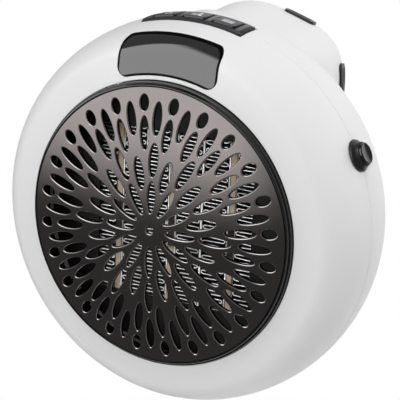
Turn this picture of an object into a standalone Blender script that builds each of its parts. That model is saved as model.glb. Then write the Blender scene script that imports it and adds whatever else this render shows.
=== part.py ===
"""Plug-in fan heater.

A round casing hangs from a wall socket by a plug that turns in a boss on its back. A fan behind
a ribbed ceramic heater blows warm air out through a domed, slotted grille. The depth of a piece
is its distance behind the plane of the grille's ring, and angles run clockwise from the top as
seen from the front.
"""

import math

import bmesh
import bpy
from mathutils import Matrix, Vector

MM = 0.001

# Clearances and counts that every piece shares
GAP = 0.3 * MM
OVERRUN = 1.0 * MM
MERGE = 0.01 * MM
WALL = 2.2 * MM
SHELL_STEPS = 32
BOSS_STEPS = 30
ROUND_STEPS = 20
SMALL_STEPS = 8
PIN_STEPS = 12
CURVE_STEPS = 5
CORNER_STEPS = 3
BOX_CORNER_STEPS = 2
SHARP_ANGLE = math.radians(35)

# Casing: a bulging drum whose crown is an ellipse in section
RING_R = 62.0 * MM
FACE_BAND = 10.0 * MM
FACE_R = RING_R + FACE_BAND
CROWN_BULGE = 13.4 * MM
CROWN_R = FACE_R + CROWN_BULGE
FACE_DEPTH = 2.8 * MM
CROWN_REACH = 29.2 * MM
CROWN_DEPTH = FACE_DEPTH + CROWN_REACH
FACE_ANGLE = math.radians(86)
SEAM_FORWARD = 3.5 * MM
SEAM_DEPTH = CROWN_DEPTH - SEAM_FORWARD
BACK_FLAT_SHARE = 0.7
BACK_FLAT_R = FACE_R * BACK_FLAT_SHARE
TONGUE_LENGTH = 3.0 * MM
TONGUE_THICKNESS = 1.2 * MM

# Boss on the back that carries the plug, round but for five shallow flats
BOSS_BELOW_CROWN = 43.4 * MM
BOSS_Z = CROWN_R - BOSS_BELOW_CROWN
BOSS_R = 39.9 * MM
BOSS_ROOT_R = 37.5 * MM
BOSS_SHOULDER_R = 8.3 * MM
BOSS_SHOULDER_LENGTH = 24.4 * MM
BOSS_FLATS = 5
BOSS_FLAT_TURN = math.radians(18)
BOSS_FLAT_SHARE = 0.04
BOSS_LENGTH = 46.8 * MM
BOSS_SUNK = 14.6 * MM
VENT_COUNT = 5
VENT_TURN = math.radians(23)
VENT_PITCH = math.radians(56)
VENT_WIDTH = 17.6 * MM
VENT_LENGTH = 8.0 * MM
VENT_FORWARD = 6.4 * MM
VENT_PROUD = 2.4 * MM
INTAKE_LENGTH = 14.0 * MM
INTAKE_WALL = 1.4 * MM
VENT_SLOTS = 2
VENT_SLOT_WIDTH = 1.8 * MM
VENT_FRAME = 1.2 * MM
INLET_COUNT = 6
INLET_PITCH = 5.4 * MM
INLET_SLOT = 3.0 * MM
INLET_LENGTH = 54.0 * MM
INLET_TOP_DROP = 60.0 * MM

# Trim ring and domed grille
RING_LIP_WIDTH = 2.8 * MM
RING_LIP_R = RING_R - RING_LIP_WIDTH
RING_LEDGE_WIDTH = 2.8 * MM
RING_LEDGE_R = RING_LIP_R - RING_LEDGE_WIDTH
RING_SKIRT_DEPTH = 9.0 * MM
RING_SKIRT_THICKNESS = 1.6 * MM
RING_LEDGE_THICKNESS = 1.4 * MM
RING_LIP_RISE = 0.5 * MM
DOME_HEIGHT = 7.8 * MM
DOME_FALL = 6.2 * MM
GRILLE_THICKNESS = 1.6 * MM
GRILLE_EDGE_STEPS = 48
SLOT_STEPS = 8
HUB_HOLE_R = 1.8 * MM
# Each row of slots: how many, the first one's turn in slot pitches, then its inner end, outer end and
# width as shares of the ring's radius
SLOT_ROW_SHARES = (
    (24, 0.5, 0.808, 0.919, 0.069),
    (24, 0.0, 0.650, 0.876, 0.065),
    (24, 0.5, 0.550, 0.776, 0.065),
    (12, 0.0, 0.369, 0.600, 0.068),
    (12, 0.5, 0.282, 0.506, 0.069),
    (12, 0.0, 0.119, 0.340, 0.060),
)

# Display window and what shows behind it
DISPLAY_ABOVE_RING = 2.2 * MM
DISPLAY_INNER_R = RING_R + DISPLAY_ABOVE_RING
DISPLAY_BELOW_CROWN = 4.4 * MM
DISPLAY_OUTER_R = CROWN_R - DISPLAY_BELOW_CROWN
DISPLAY_WIDTH_SHARE = 0.758
DISPLAY_HALF_WIDTH = RING_R * DISPLAY_WIDTH_SHARE / 2
DISPLAY_CORNER = 4.4 * MM
DISPLAY_LENS = 1.3 * MM
DISPLAY_LEDGE = 2.4 * MM
OPENING_HALF_ANGLE = math.radians(14)
OPENING_CORNER = 2.0 * MM
MODULE_SIZE = (30.0 * MM, 5.2 * MM, 9.6 * MM)
DISPLAY_BOARD_SIZE = (50.0 * MM, 1.6 * MM, 12.0 * MM)
DISPLAY_BOARD_DEPTH = 15.6 * MM
DISPLAY_BOARD_RISE = 7.5 * MM
DISPLAY_BOARD_Z = RING_R + DISPLAY_BOARD_RISE
DISPLAY_POST_X = 22.4 * MM
DISPLAY_POST_RISE = 4.2 * MM
DISPLAY_POST_Z = RING_R + DISPLAY_POST_RISE

# Control panel on the crown, its buttons and their board
PANEL_FORWARD = 7.7 * MM
PANEL_FRONT = SEAM_DEPTH - PANEL_FORWARD
PANEL_LENGTH = 15.6 * MM
PANEL_BACK = PANEL_FRONT + PANEL_LENGTH
PANEL_HALF_ANGLE = math.radians(16.4)
PANEL_PROUD = 0.6 * MM
PANEL_SINK = 1.2 * MM
BUTTON_PITCH = math.radians(9.5)
BUTTON_WIDTH = 10.6 * MM
BUTTON_LENGTH = 9.4 * MM
BUTTON_PROUD = 0.4 * MM
BUTTON_EDGE = 0.5 * MM
BUTTON_FLANGE = 1.2 * MM
BUTTON_FLANGE_THICKNESS = 1.0 * MM
BUTTON_STEM = 2.4 * MM
BUTTON_TRAVEL = 0.6 * MM
BUTTON_BOARD_SIZE = (50.0 * MM, 15.0 * MM, 1.6 * MM)
BUTTON_BOARD_DROP = 14.8 * MM
BUTTON_BOARD_Z = CROWN_R - BUTTON_BOARD_DROP
TACT_SIZE = 6.0 * MM
TACT_HEIGHT = 3.4 * MM
BUTTON_POST_X = 22.2 * MM

# Side switch, a round push button on the seam
SWITCH_ANGLE = math.radians(64.2)
SWITCH_BEZEL_R = 6.8 * MM
SWITCH_SINK = 1.0 * MM
SWITCH_SEAT_R = CROWN_R - SWITCH_SINK
SWITCH_RIM = 0.7 * MM
SWITCH_COLLAR_HEIGHT = 1.7 * MM
SWITCH_COLLAR_R = 5.2 * MM
SWITCH_BORE_R = 4.2 * MM
SWITCH_SLEEVE_WALL = 0.9 * MM
SWITCH_CAP_R = 4.7 * MM
SWITCH_CAP_THICKNESS = 1.2 * MM
SWITCH_CAP_DISH = 0.5 * MM
SWITCH_TRAVEL = 0.8 * MM
SWITCH_BODY = 12.0 * MM
SWITCH_BODY_LENGTH = 13.0 * MM

# Ceramic heater: upright bars, folded fins and thin rails in a frame
HEATER_DEPTH = 15.0 * MM
HEATER_THICKNESS = 13.0 * MM
HEATER_HEIGHT_SHARE = 1.274
HEATER_HEIGHT = RING_R * HEATER_HEIGHT_SHARE
BAR_COUNT = 3
BAR_PITCH_SHARE = 0.413
BAR_PITCH = RING_R * BAR_PITCH_SHARE
BAR_WIDTH = 4.0 * MM
RAIL_THICKNESS = 0.8 * MM
FIN_PERIOD = 5.6 * MM
FIN_SHEET = 0.35 * MM
FRAME_WALL = 2.6 * MM
FRAME_LIP = 1.8 * MM
FRAME_LIP_THICKNESS = 1.2 * MM
FRAME_CORNER = 3.0 * MM
EAR_INSET = 4.6 * MM
EAR_R = FACE_R - EAR_INSET
EAR_WIDTH = 8.0 * MM
EAR_THICKNESS = 2.4 * MM
EAR_DEPTH = 20.0 * MM
EAR_ANGLES = (math.radians(45), math.radians(135), math.radians(225), math.radians(315))
CUTOUT_SIZE = (16.0 * MM, 7.0 * MM, 5.0 * MM)
CUTOUT_X = 18.0 * MM

# Fan: shroud, impeller, motor
SHROUD_SHARE = 0.7
SHROUD_R = RING_R * SHROUD_SHARE
SHROUD_WALL = 1.6 * MM
SHROUD_FRONT = 30.0 * MM
SHROUD_BACK = 52.0 * MM
IMPELLER_CLEARANCE = 1.2 * MM
IMPELLER_R = SHROUD_R - SHROUD_WALL - IMPELLER_CLEARANCE
IMPELLER_FRONT = 33.0 * MM
IMPELLER_BACK = 46.0 * MM
HUB_R = 13.0 * MM
HUB_WALL = 1.6 * MM
HUB_CORE_R = 3.4 * MM
BLADE_COUNT = 7
BLADE_THICKNESS = 1.4 * MM
BLADE_ROOT_PITCH = math.radians(52)
BLADE_TIP_PITCH = math.radians(28)
BLADE_ROOT_CHORD = 12.0 * MM
BLADE_TIP_CHORD = 20.0 * MM
MOTOR_R = 12.2 * MM
MOTOR_LENGTH = 12.3 * MM
MOTOR_FRONT = 49.4 * MM
MOTOR_NOSE_R = 3.0 * MM
MOTOR_NOSE = 1.2 * MM
SHAFT_R = 1.0 * MM
SHAFT_IN_HUB = 9.0 * MM
CUP_WALL = 1.6 * MM
CUP_DEPTH = 7.0 * MM
ARM_COUNT = 4
ARM_WIDTH = 4.0 * MM
FAN_POST_OUT = 11.6 * MM
FAN_POST_R = SHROUD_R + FAN_POST_OUT
FAN_POST_ANGLES = (math.radians(78), math.radians(180), math.radians(282))
FAN_EAR_THICKNESS = 2.2 * MM

# Casing screws and the posts that take them
CASE_SCREW_INSET = 2.0 * MM
CASE_SCREW_R = FACE_R - CASE_SCREW_INSET
CASE_SCREW_ANGLES = (math.radians(52), math.radians(128), math.radians(232), math.radians(308))
POST_R = 3.6 * MM
SMALL_POST_R = 2.4 * MM
CASE_HEAD_BACK = 15.5 * MM
CASE_HEAD_DEPTH = SEAM_DEPTH + CASE_HEAD_BACK
SCREW_HEAD_R = 3.0 * MM
SCREW_HEAD_HEIGHT = 2.0 * MM
SCREW_SHANK_R = 1.5 * MM
CASE_SCREW_LENGTH = 22.0 * MM
SHORT_SCREW_LENGTH = 8.0 * MM
SMALL_HEAD_R = 2.2 * MM
SMALL_HEAD_HEIGHT = 1.4 * MM
SMALL_SHANK_R = 1.0 * MM
SMALL_SCREW_LENGTH = 5.0 * MM

# Power board inside the boss
POWER_BOARD_SIZE = (52.0 * MM, 1.6 * MM, 44.0 * MM)
POWER_BOARD_FORWARD = 29.0 * MM
POWER_POST_INSET = 5.1 * MM
POWER_POST_X = POWER_BOARD_SIZE[0] / 2 - POWER_POST_INSET
POWER_POST_Z = POWER_BOARD_SIZE[2] / 2 - POWER_POST_INSET
RELAY_SIZE = (19.0 * MM, 15.0 * MM, 15.6 * MM)
RELAY_X = -10.0 * MM
RELAY_Z = 2.0 * MM
CAPACITOR_R = 5.0 * MM
CAPACITOR_LENGTH = 13.0 * MM
CAPACITOR_X = 14.0 * MM
CAPACITOR_Z = 10.0 * MM

# Turning plug: a round carrier with two pins that fits a recessed socket
PLUG_BARREL_R = 21.0 * MM
PLUG_BODY_R = 18.6 * MM
PLUG_BODY_LENGTH = 17.0 * MM
PLUG_BEVEL = 1.2 * MM
PLUG_COLLAR_HEIGHT = 1.4 * MM
PLUG_COLLAR_R = 23.4 * MM
PLUG_KEY_WIDTH = 5.6 * MM
PLUG_KEY_DEPTH = 2.4 * MM
PIN_R = 2.4 * MM
PIN_SPACING = 19.0 * MM
PIN_LENGTH = 19.0 * MM
PIN_INSIDE = 20.0 * MM
RETAINER_R = 24.0 * MM
RETAINER_THICKNESS = 1.6 * MM
NECK_LENGTH = 2.2 * MM
NECK_R = 16.0 * MM
CONTACT_SIZE = (6.0 * MM, 0.6 * MM, 16.0 * MM)


def crown_point(angle, inset):
    """A point of the crown's ellipse, moved in along its normal; angle 0 is the widest place."""
    width = CROWN_R - FACE_R
    length = CROWN_DEPTH - FACE_DEPTH
    normal = Vector((math.cos(angle) / width, math.sin(angle) / length)).normalized()
    return (
        FACE_R + width * math.cos(angle) - inset * normal.x,
        CROWN_DEPTH + length * math.sin(angle) - inset * normal.y,
    )


def face_slope():
    """How much the flat of the face or back falls away for each step outwards."""
    width = CROWN_R - FACE_R
    length = CROWN_DEPTH - FACE_DEPTH
    return length * math.cos(FACE_ANGLE) / (width * math.sin(FACE_ANGLE))


def back_depth(inset=0.0):
    """Depth of the flat in the middle of the back."""
    radius, depth = crown_point(FACE_ANGLE, inset)
    return depth + (radius - BACK_FLAT_R) * face_slope()


# Places along the depth that follow from the casing's back
BOSS_ROOT_DEPTH = back_depth() - BOSS_SUNK
BOSS_END_DEPTH = back_depth() + BOSS_LENGTH
VENT_BACK = BOSS_END_DEPTH - VENT_FORWARD
VENT_FRONT = VENT_BACK - VENT_LENGTH
POWER_BOARD_DEPTH = BOSS_END_DEPTH - POWER_BOARD_FORWARD
PLUG_FACE_DEPTH = BOSS_END_DEPTH + PLUG_BODY_LENGTH

# Colours, as sRGB shares
WHITE_SHARE = (0.93, 0.93, 0.93)
BLACK_SHARE = (0.05, 0.05, 0.055)
GUNMETAL_SHARE = (0.17, 0.16, 0.16)
PANEL_SHARE = (0.10, 0.10, 0.11)
LENS_SHARE = (0.16, 0.16, 0.17)
ALUMINIUM_SHARE = (0.80, 0.81, 0.82)
AMBER_SHARE = (0.72, 0.55, 0.36)
STEEL_SHARE = (0.62, 0.63, 0.65)
BRASS_SHARE = (0.85, 0.70, 0.42)
BOARD_SHARE = (0.06, 0.28, 0.16)
NYLON_SHARE = (0.85, 0.84, 0.80)
BLUE_SHARE = (0.10, 0.22, 0.45)


def clear_scene():
    for old in list(bpy.data.objects):
        bpy.data.objects.remove(old, do_unlink=True)


def collection(name):
    made = bpy.data.collections.new(name)
    bpy.context.scene.collection.children.link(made)
    return made


clear_scene()
PARTS = collection("plug_in_fan_heater")
GUIDES = collection("cutters")


def empty(name, location=(0, 0, 0), turn=(0, 0, 0), parent=None):
    """A frame of reference that pieces are parented to."""
    made = bpy.data.objects.new(name, None)
    made.location = location
    made.rotation_euler = turn
    made.parent = parent
    PARTS.objects.link(made)
    return made


# The plug's face is the origin, so the ring's centre lies in front of it and below it.
RING = empty("ring_centre", location=(0, -PLUG_FACE_DEPTH, -BOSS_Z))
BOSS_AXIS = empty("boss_axis", location=(0, 0, BOSS_Z), parent=RING)


def finish(piece, share, roughness, metallic=0.0):
    """Gives a piece its own material, with an sRGB colour turned into linear values."""
    material = bpy.data.materials.new(piece.name)
    material.use_nodes = True
    shader = material.node_tree.nodes["Principled BSDF"]
    linear = [value / 12.92 if value <= 0.04045 else ((value + 0.055) / 1.055) ** 2.4 for value in share]
    shader.inputs["Base Color"].default_value = (*linear, 1.0)
    shader.inputs["Roughness"].default_value = roughness
    shader.inputs["Metallic"].default_value = metallic
    piece.data.materials.clear()
    piece.data.materials.append(material)


def place(name, mesh, parent=RING, guide=False):
    """Links a mesh as a piece, or as a guide that only cuts or adds to others."""
    mesh.name = name
    mesh.shade_smooth()
    mesh.set_sharp_from_angle(angle=SHARP_ANGLE)
    made = bpy.data.objects.new(name, mesh)
    made.parent = parent
    if guide:
        made.hide_render = True
        made.display_type = "WIRE"
        GUIDES.objects.link(made)
    else:
        PARTS.objects.link(made)
    return made


def mesh_from(work):
    """A mesh from closed shapes, with its faces turned outwards."""
    bmesh.ops.recalc_face_normals(work, faces=work.faces)
    if work.calc_volume(signed=True) < 0:
        bmesh.ops.reverse_faces(work, faces=work.faces)
    mesh = bpy.data.meshes.new("shape")
    work.to_mesh(mesh)
    work.free()
    return mesh


def turned(name, profile, parent=RING, steps=ROUND_STEPS, closed=True, guide=False):
    """Turns (radius, depth) points about the depth axis; an open profile starts and ends on the axis."""
    area = sum(a[0] * b[1] - b[0] * a[1] for a, b in zip(profile, profile[1:] + profile[:1]))
    points = profile if area < 0 else profile[::-1]
    mesh = bpy.data.meshes.new(name)
    edges = [(i, i + 1) for i in range(len(points) - 1)]
    if closed:
        edges.append((len(points) - 1, 0))
    mesh.from_pydata([(radius, 0, depth) for radius, depth in points], edges, [])
    made = place(name, mesh, parent, guide)
    made.rotation_euler = (-math.pi / 2, 0, 0)
    screw = made.modifiers.new("turn", "SCREW")
    screw.steps = steps
    screw.render_steps = steps
    screw.use_merge_vertices = True
    screw.merge_threshold = MERGE
    screw.use_smooth_shade = True
    return made


def prism(name, loops, front, back, parent=RING, guide=False):
    """Extrudes closed outlines, drawn as (across, up) points seen from the front, from front to back."""
    curve = bpy.data.curves.new(name, "CURVE")
    curve.dimensions = "2D"
    curve.fill_mode = "BOTH"
    curve.extrude = (back - front) / 2
    for loop in loops:
        spline = curve.splines.new("POLY")
        spline.points.add(len(loop) - 1)
        spline.use_cyclic_u = True
        for point, (across, up) in zip(spline.points, loop):
            point.co = (across, up, 0, 1)
    drawn = bpy.data.objects.new(name + "_outline", curve)
    GUIDES.objects.link(drawn)
    depsgraph = bpy.context.evaluated_depsgraph_get()
    mesh = bpy.data.meshes.new_from_object(drawn.evaluated_get(depsgraph))
    bpy.data.objects.remove(drawn, do_unlink=True)
    work = bmesh.new()
    work.from_mesh(mesh)
    bmesh.ops.remove_doubles(work, verts=work.verts, dist=MERGE)
    made = place(name, mesh_from(work), parent, guide)
    made.rotation_euler = (math.pi / 2, 0, 0)
    made.location = (0, (front + back) / 2, 0)
    return made


def block(name, size, centre, parent=RING, bevel=0.0, guide=False):
    """A box by its size and centre, with its edges rounded if a bevel is given."""
    work = bmesh.new()
    bmesh.ops.create_cube(work, size=1.0, matrix=Matrix.Diagonal((*size, 1.0)))
    made = place(name, mesh_from(work), parent, guide)
    made.location = centre
    if bevel:
        rounding = made.modifiers.new("edges", "BEVEL")
        rounding.width = bevel
        rounding.segments = 1
    return made


def rod(name, radius, start, end, parent=RING, steps=SMALL_STEPS, guide=False):
    """A round bar between two points."""
    start, end = Vector(start), Vector(end)
    along = end - start
    work = bmesh.new()
    bmesh.ops.create_cone(
        work, cap_ends=True, segments=steps, radius1=radius, radius2=radius, depth=along.length
    )
    made = place(name, mesh_from(work), parent, guide)
    made.rotation_euler = along.to_track_quat("Z", "Y").to_euler()
    made.location = (start + end) / 2
    return made


def combine(target, other, operation):
    step = target.modifiers.new(other.name, "BOOLEAN")
    step.operation = operation
    step.object = other
    step.solver = "EXACT"


def cut(target, *others):
    for other in others:
        combine(target, other, "DIFFERENCE")


def join(target, *others):
    for other in others:
        combine(target, other, "UNION")


def keep(target, other):
    combine(target, other, "INTERSECT")


def merged_guide(name, pieces):
    """Gathers boxes and slots into one guide, so that one cut makes them all."""
    bpy.context.view_layer.update()
    depsgraph = bpy.context.evaluated_depsgraph_get()
    work = bmesh.new()
    inverse = RING.matrix_world.inverted()
    for piece in pieces:
        evaluated = piece.evaluated_get(depsgraph)
        mesh = bpy.data.meshes.new_from_object(evaluated)
        mesh.transform(inverse @ evaluated.matrix_world)
        work.from_mesh(mesh)
    for piece in pieces:
        bpy.data.objects.remove(piece, do_unlink=True)
    return place(name, mesh_from(work), guide=True)


def polar(radius, angle):
    return radius * math.sin(angle), radius * math.cos(angle)


def arc(centre, radius, start, end, steps):
    """Points of an arc, its angles measured clockwise from the top."""
    points = []
    for i in range(steps + 1):
        across, up = polar(radius, start + (end - start) * i / steps)
        points.append((centre[0] + across, centre[1] + up))
    return points


def sector(inner, outer, half_angle, corner):
    """Outline of a ring sector at the top, with rounded corners."""
    quarter = math.pi / 2
    high = half_angle - math.asin(corner / (outer - corner))
    low = half_angle - math.asin(corner / (inner + corner))
    right, left = half_angle + quarter, 3 * quarter - half_angle
    points = arc((0, 0), outer, -high, high, CURVE_STEPS)
    points += arc(polar(outer - corner, high), corner, high, right, CORNER_STEPS)[1:]
    points += arc(polar(inner + corner, low), corner, right, low + math.pi, CORNER_STEPS)
    points += arc((0, 0), inner, low, -low, CURVE_STEPS)[1:]
    points += arc(polar(inner + corner, -low), corner, math.pi - low, left, CORNER_STEPS)[1:]
    points += arc(polar(outer - corner, -high), corner, left, 4 * quarter - high, CORNER_STEPS)[:-1]
    return points


def rectangle(width, height, corner=0.0, centre=(0, 0)):
    """Outline of a rectangle, with rounded corners if a corner radius is given."""
    points = []
    for index, (side, end) in enumerate(((1, 1), (1, -1), (-1, -1), (-1, 1))):
        middle = (centre[0] + side * (width / 2 - corner), centre[1] + end * (height / 2 - corner))
        if corner:
            first = index * math.pi / 2
            points += arc(middle, corner, first, first + math.pi / 2, BOX_CORNER_STEPS)
        else:
            points.append(middle)
    return points


def crown_angle(depth):
    return math.asin((depth - CROWN_DEPTH) / (CROWN_DEPTH - FACE_DEPTH))


def casing_radius(depth, inset):
    return crown_point(crown_angle(depth), inset)[0]


def crown_line(front, back, inset):
    """The crown's section between two depths, moved in along its normals."""
    first, last = crown_angle(front), crown_angle(back)
    return [crown_point(first + (last - first) * i / CORNER_STEPS, inset) for i in range(CORNER_STEPS + 1)]


def front_line(inset, last_depth=SEAM_DEPTH):
    """The front's section from the ring's opening out to the seam."""
    radius, depth = crown_point(-FACE_ANGLE, inset)
    opening = RING_R + GAP
    points = [(opening, depth - (radius - opening) * face_slope())]
    last = crown_angle(last_depth)
    for i in range(CURVE_STEPS + 1):
        points.append(crown_point(-FACE_ANGLE + (FACE_ANGLE + last) * i / CURVE_STEPS, inset))
    return points


def back_line(inset, first_depth):
    """The back's section from the seam in to the axis."""
    first = crown_angle(first_depth)
    points = []
    for i in range(CURVE_STEPS + 1):
        points.append(crown_point(first + (FACE_ANGLE - first) * i / CURVE_STEPS, inset))
    points += [(BACK_FLAT_R, back_depth(inset)), (0, back_depth(inset))]
    return points


def boss_line(inset, root_depth):
    """The boss's section from its root to its end face, in radii from its own axis."""
    shoulder_depth = BOSS_END_DEPTH - BOSS_SHOULDER_LENGTH
    points = [(BOSS_ROOT_R - inset, root_depth)]
    for i in range(CURVE_STEPS + 1):
        angle = math.pi / 2 * i / CURVE_STEPS
        radius = BOSS_R - inset - BOSS_SHOULDER_R * (1 - math.cos(angle))
        points.append((radius, shoulder_depth + (BOSS_SHOULDER_LENGTH - inset) * math.sin(angle)))
    return points


def lobed(name, profile, guide=True):
    """A solid along the boss's axis whose rings draw in at the boss's flats and swell between them."""
    work = bmesh.new()
    rings = []
    for radius, depth in profile:
        ring = []
        for i in range(BOSS_STEPS):
            turn = 2 * math.pi * i / BOSS_STEPS
            swell = 1 - BOSS_FLAT_SHARE * math.cos(BOSS_FLATS * turn)
            across, up = polar(radius * swell, BOSS_FLAT_TURN + turn)
            ring.append(work.verts.new((across, depth, up)))
        rings.append(ring)
    for near, far in zip(rings, rings[1:]):
        for i in range(BOSS_STEPS):
            work.faces.new((near[i - 1], near[i], far[i], far[i - 1]))
    work.faces.new(rings[0])
    work.faces.new(rings[-1])
    return place(name, mesh_from(work), BOSS_AXIS, guide)


def radial(angle, name):
    """A frame whose up axis points out from the middle at an angle from the top."""
    return empty(name, turn=(0, angle, 0), parent=RING)


def display_outline(grow=0.0):
    """The window's outline: two arcs round the ring's centre and two upright sides, rounded at corners."""
    quarter = math.pi / 2
    inner, outer = DISPLAY_INNER_R - grow, DISPLAY_OUTER_R + grow
    corner = DISPLAY_CORNER + grow
    side = DISPLAY_HALF_WIDTH + grow - corner
    high = math.asin(side / (outer - corner))
    low = math.asin(side / (inner + corner))
    top, bottom = polar(outer - corner, high)[1], polar(inner + corner, low)[1]
    points = arc((0, 0), outer, -high, high, CURVE_STEPS)
    points += arc((side, top), corner, high, quarter, CORNER_STEPS)[1:]
    points += arc((side, bottom), corner, quarter, low + math.pi, CORNER_STEPS)
    points += arc((0, 0), inner, low, -low, CURVE_STEPS)[1:]
    points += arc((-side, bottom), corner, math.pi - low, 3 * quarter, CORNER_STEPS)[1:]
    points += arc((-side, top), corner, 3 * quarter, 4 * quarter - high, CORNER_STEPS)[:-1]
    return points


def opening_outline():
    """The light opening behind the window, which leaves a ledge for the window to lie on."""
    inner, outer = DISPLAY_INNER_R + DISPLAY_LEDGE, DISPLAY_OUTER_R - DISPLAY_LEDGE
    return sector(inner, outer, OPENING_HALF_ANGLE, OPENING_CORNER)


def display_cutters():
    """The pocket that the window lies in, and the smaller opening behind it."""
    lens_floor = DISPLAY_LENS + GAP
    pocket = turned(
        "display_pocket",
        front_line(lens_floor) + front_line(-OVERRUN)[::-1],
        steps=SHELL_STEPS,
        guide=True,
    )
    keep(pocket, prism("pocket_outline", [display_outline(GAP)], -OVERRUN, SEAM_DEPTH, guide=True))
    opening = prism("display_opening", [opening_outline()], -OVERRUN, SEAM_DEPTH / 2, guide=True)
    return pocket, opening


def panel_wedge(turn):
    return [(0, 0)] + arc((0, 0), CROWN_R + 2 * OVERRUN, -turn, turn, CURVE_STEPS)


def panel_cutters(grow):
    """A ring sector across the crown that follows the control panel's outline."""
    front, back = PANEL_FRONT - grow, PANEL_BACK + grow
    floor = crown_line(front, back, PANEL_SINK + grow)
    ring = turned(
        "panel_ring",
        floor + crown_line(front, back, -OVERRUN)[::-1],
        steps=SHELL_STEPS * 2,
        guide=True,
    )
    turn = PANEL_HALF_ANGLE + grow / CROWN_R
    outline = panel_wedge(turn)
    keep(ring, prism("panel_wedge", [outline], PANEL_FRONT - OVERRUN, PANEL_BACK + OVERRUN, guide=True))
    return ring


BUTTONS = ("button_left", "button_middle", "button_right")


def button_angle(index):
    return (index - 1) * BUTTON_PITCH


def button_depth():
    return (PANEL_FRONT + PANEL_BACK) / 2


def button_top():
    return casing_radius(button_depth(), 0.0) + PANEL_PROUD + BUTTON_PROUD


def button_openings():
    """Square holes for the buttons, through the panel and the wall below it."""
    pieces = []
    side = BUTTON_WIDTH + 2 * GAP
    length = BUTTON_LENGTH + 2 * GAP
    height = button_top() - BUTTON_BOARD_Z
    for index, name in enumerate(BUTTONS):
        middle = (0, button_depth(), button_top() + OVERRUN - height / 2)
        frame = radial(button_angle(index), name + "_opening_frame")
        pieces.append(block(name + "_opening", (side, length, height), middle, frame, guide=True))
    return pieces


def switch_cutters():
    """The round seat and hole for the side switch."""
    frame = radial(SWITCH_ANGLE, "switch_cutter_frame")
    seat_r = SWITCH_BEZEL_R + GAP
    hole_r = SWITCH_BORE_R + SWITCH_SLEEVE_WALL + GAP
    floor = (0, SEAM_DEPTH, SWITCH_SEAT_R)
    outside = (0, SEAM_DEPTH, CROWN_R + OVERRUN)
    inside = (0, SEAM_DEPTH, sleeve_end() - OVERRUN)
    seat = rod("switch_seat", seat_r, floor, outside, frame, ROUND_STEPS, True)
    hole = rod("switch_hole", hole_r, inside, outside, frame, ROUND_STEPS, True)
    return seat, hole


def depth_rod(name, radius, at, front, back, parent=RING, steps=SMALL_STEPS):
    """A guide rod that runs front to back at an (across, up) place."""
    return rod(name, radius, (at[0], front, at[1]), (at[0], back, at[1]), parent, steps, True)


def face_depth(radius, inset):
    """Depth of the face's flat at a radius."""
    edge_r, edge_depth = crown_point(-FACE_ANGLE, inset)
    return edge_depth - (edge_r - radius) * face_slope()


def back_face_depth(radius, inset):
    """Depth of the back's flat at a radius; the back mirrors the face."""
    return 2 * CROWN_DEPTH - face_depth(radius, inset)


def make_front_shell(pocket, opening, panel_recess, openings, seat, hole):
    outer = front_line(0.0, SEAM_DEPTH - GAP / 2)
    inner = front_line(WALL, SEAM_DEPTH - GAP / 2)
    shell = turned("front_shell", outer + inner[::-1], steps=SHELL_STEPS)
    root = face_depth(EAR_R, WALL / 2)
    for index, angle in enumerate(EAR_ANGLES):
        join(shell, depth_rod(f"heater_post_{index}", POST_R, polar(EAR_R, angle), root, EAR_DEPTH - GAP))
    for index, angle in enumerate(CASE_SCREW_ANGLES):
        back = SEAM_DEPTH - GAP / 2
        join(shell, depth_rod(f"front_post_{index}", POST_R, polar(CASE_SCREW_R, angle), root, back))
    board_seat = DISPLAY_BOARD_DEPTH - GAP
    post_depth = SEAM_DEPTH - TONGUE_LENGTH - 2 * GAP - SMALL_POST_R
    for side in (-1, 1):
        at = (side * DISPLAY_POST_X, DISPLAY_POST_Z)
        join(shell, depth_rod(f"display_post_{side}", SMALL_POST_R, at, root, board_seat))
        seat_r = casing_radius(post_depth, PANEL_SINK + 2 * GAP)
        top = math.sqrt(seat_r**2 - BUTTON_POST_X**2)
        board_top = BUTTON_BOARD_Z + BUTTON_BOARD_SIZE[2] + GAP
        x = side * BUTTON_POST_X
        post = rod(
            f"button_post_{side}",
            SMALL_POST_R,
            (x, post_depth, board_top),
            (x, post_depth, top),
            guide=True,
        )
        join(shell, post)
    cut(shell, pocket, opening, panel_recess, *openings, seat, hole)
    for index, angle in enumerate(EAR_ANGLES):
        at = polar(EAR_R, angle)
        bottom = EAR_DEPTH + EAR_THICKNESS - SHORT_SCREW_LENGTH
        cut(shell, depth_rod(f"heater_pilot_{index}", SCREW_SHANK_R + GAP, at, bottom, EAR_DEPTH + OVERRUN))
    for index, angle in enumerate(CASE_SCREW_ANGLES):
        at = polar(CASE_SCREW_R, angle)
        bottom = CASE_HEAD_DEPTH - CASE_SCREW_LENGTH
        cut(shell, depth_rod(f"front_pilot_{index}", SCREW_SHANK_R + GAP, at, bottom, SEAM_DEPTH + OVERRUN))
    finish(shell, WHITE_SHARE, 0.38)
    return shell


def power_posts():
    """The two places, on a diagonal of the boss, where the power board is screwed down."""
    return [(-POWER_POST_X, POWER_POST_Z), (POWER_POST_X, -POWER_POST_Z)]


def vent_boxes(name, shrink):
    """Boxes round the boss's shoulder, one for each intake window."""
    pieces = []
    width = VENT_WIDTH - 2 * shrink
    length = VENT_BACK - VENT_FRONT - 2 * shrink
    for index in range(VENT_COUNT):
        frame = vent_frame(index, name)
        middle = (0, (VENT_FRONT + VENT_BACK) / 2, BOSS_R - BOSS_SHOULDER_R / 2)
        pieces.append(block(f"{name}_{index}", (width, length, 2 * BOSS_SHOULDER_R), middle, frame))
    return merged_guide(name, pieces)


def vent_frame(index, name):
    """A frame on the boss's axis whose up axis points out through one of the intake windows."""
    turn = VENT_TURN + index * VENT_PITCH
    return empty(f"{name}_frame_{index}", turn=(0, turn, 0), parent=BOSS_AXIS)


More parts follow.
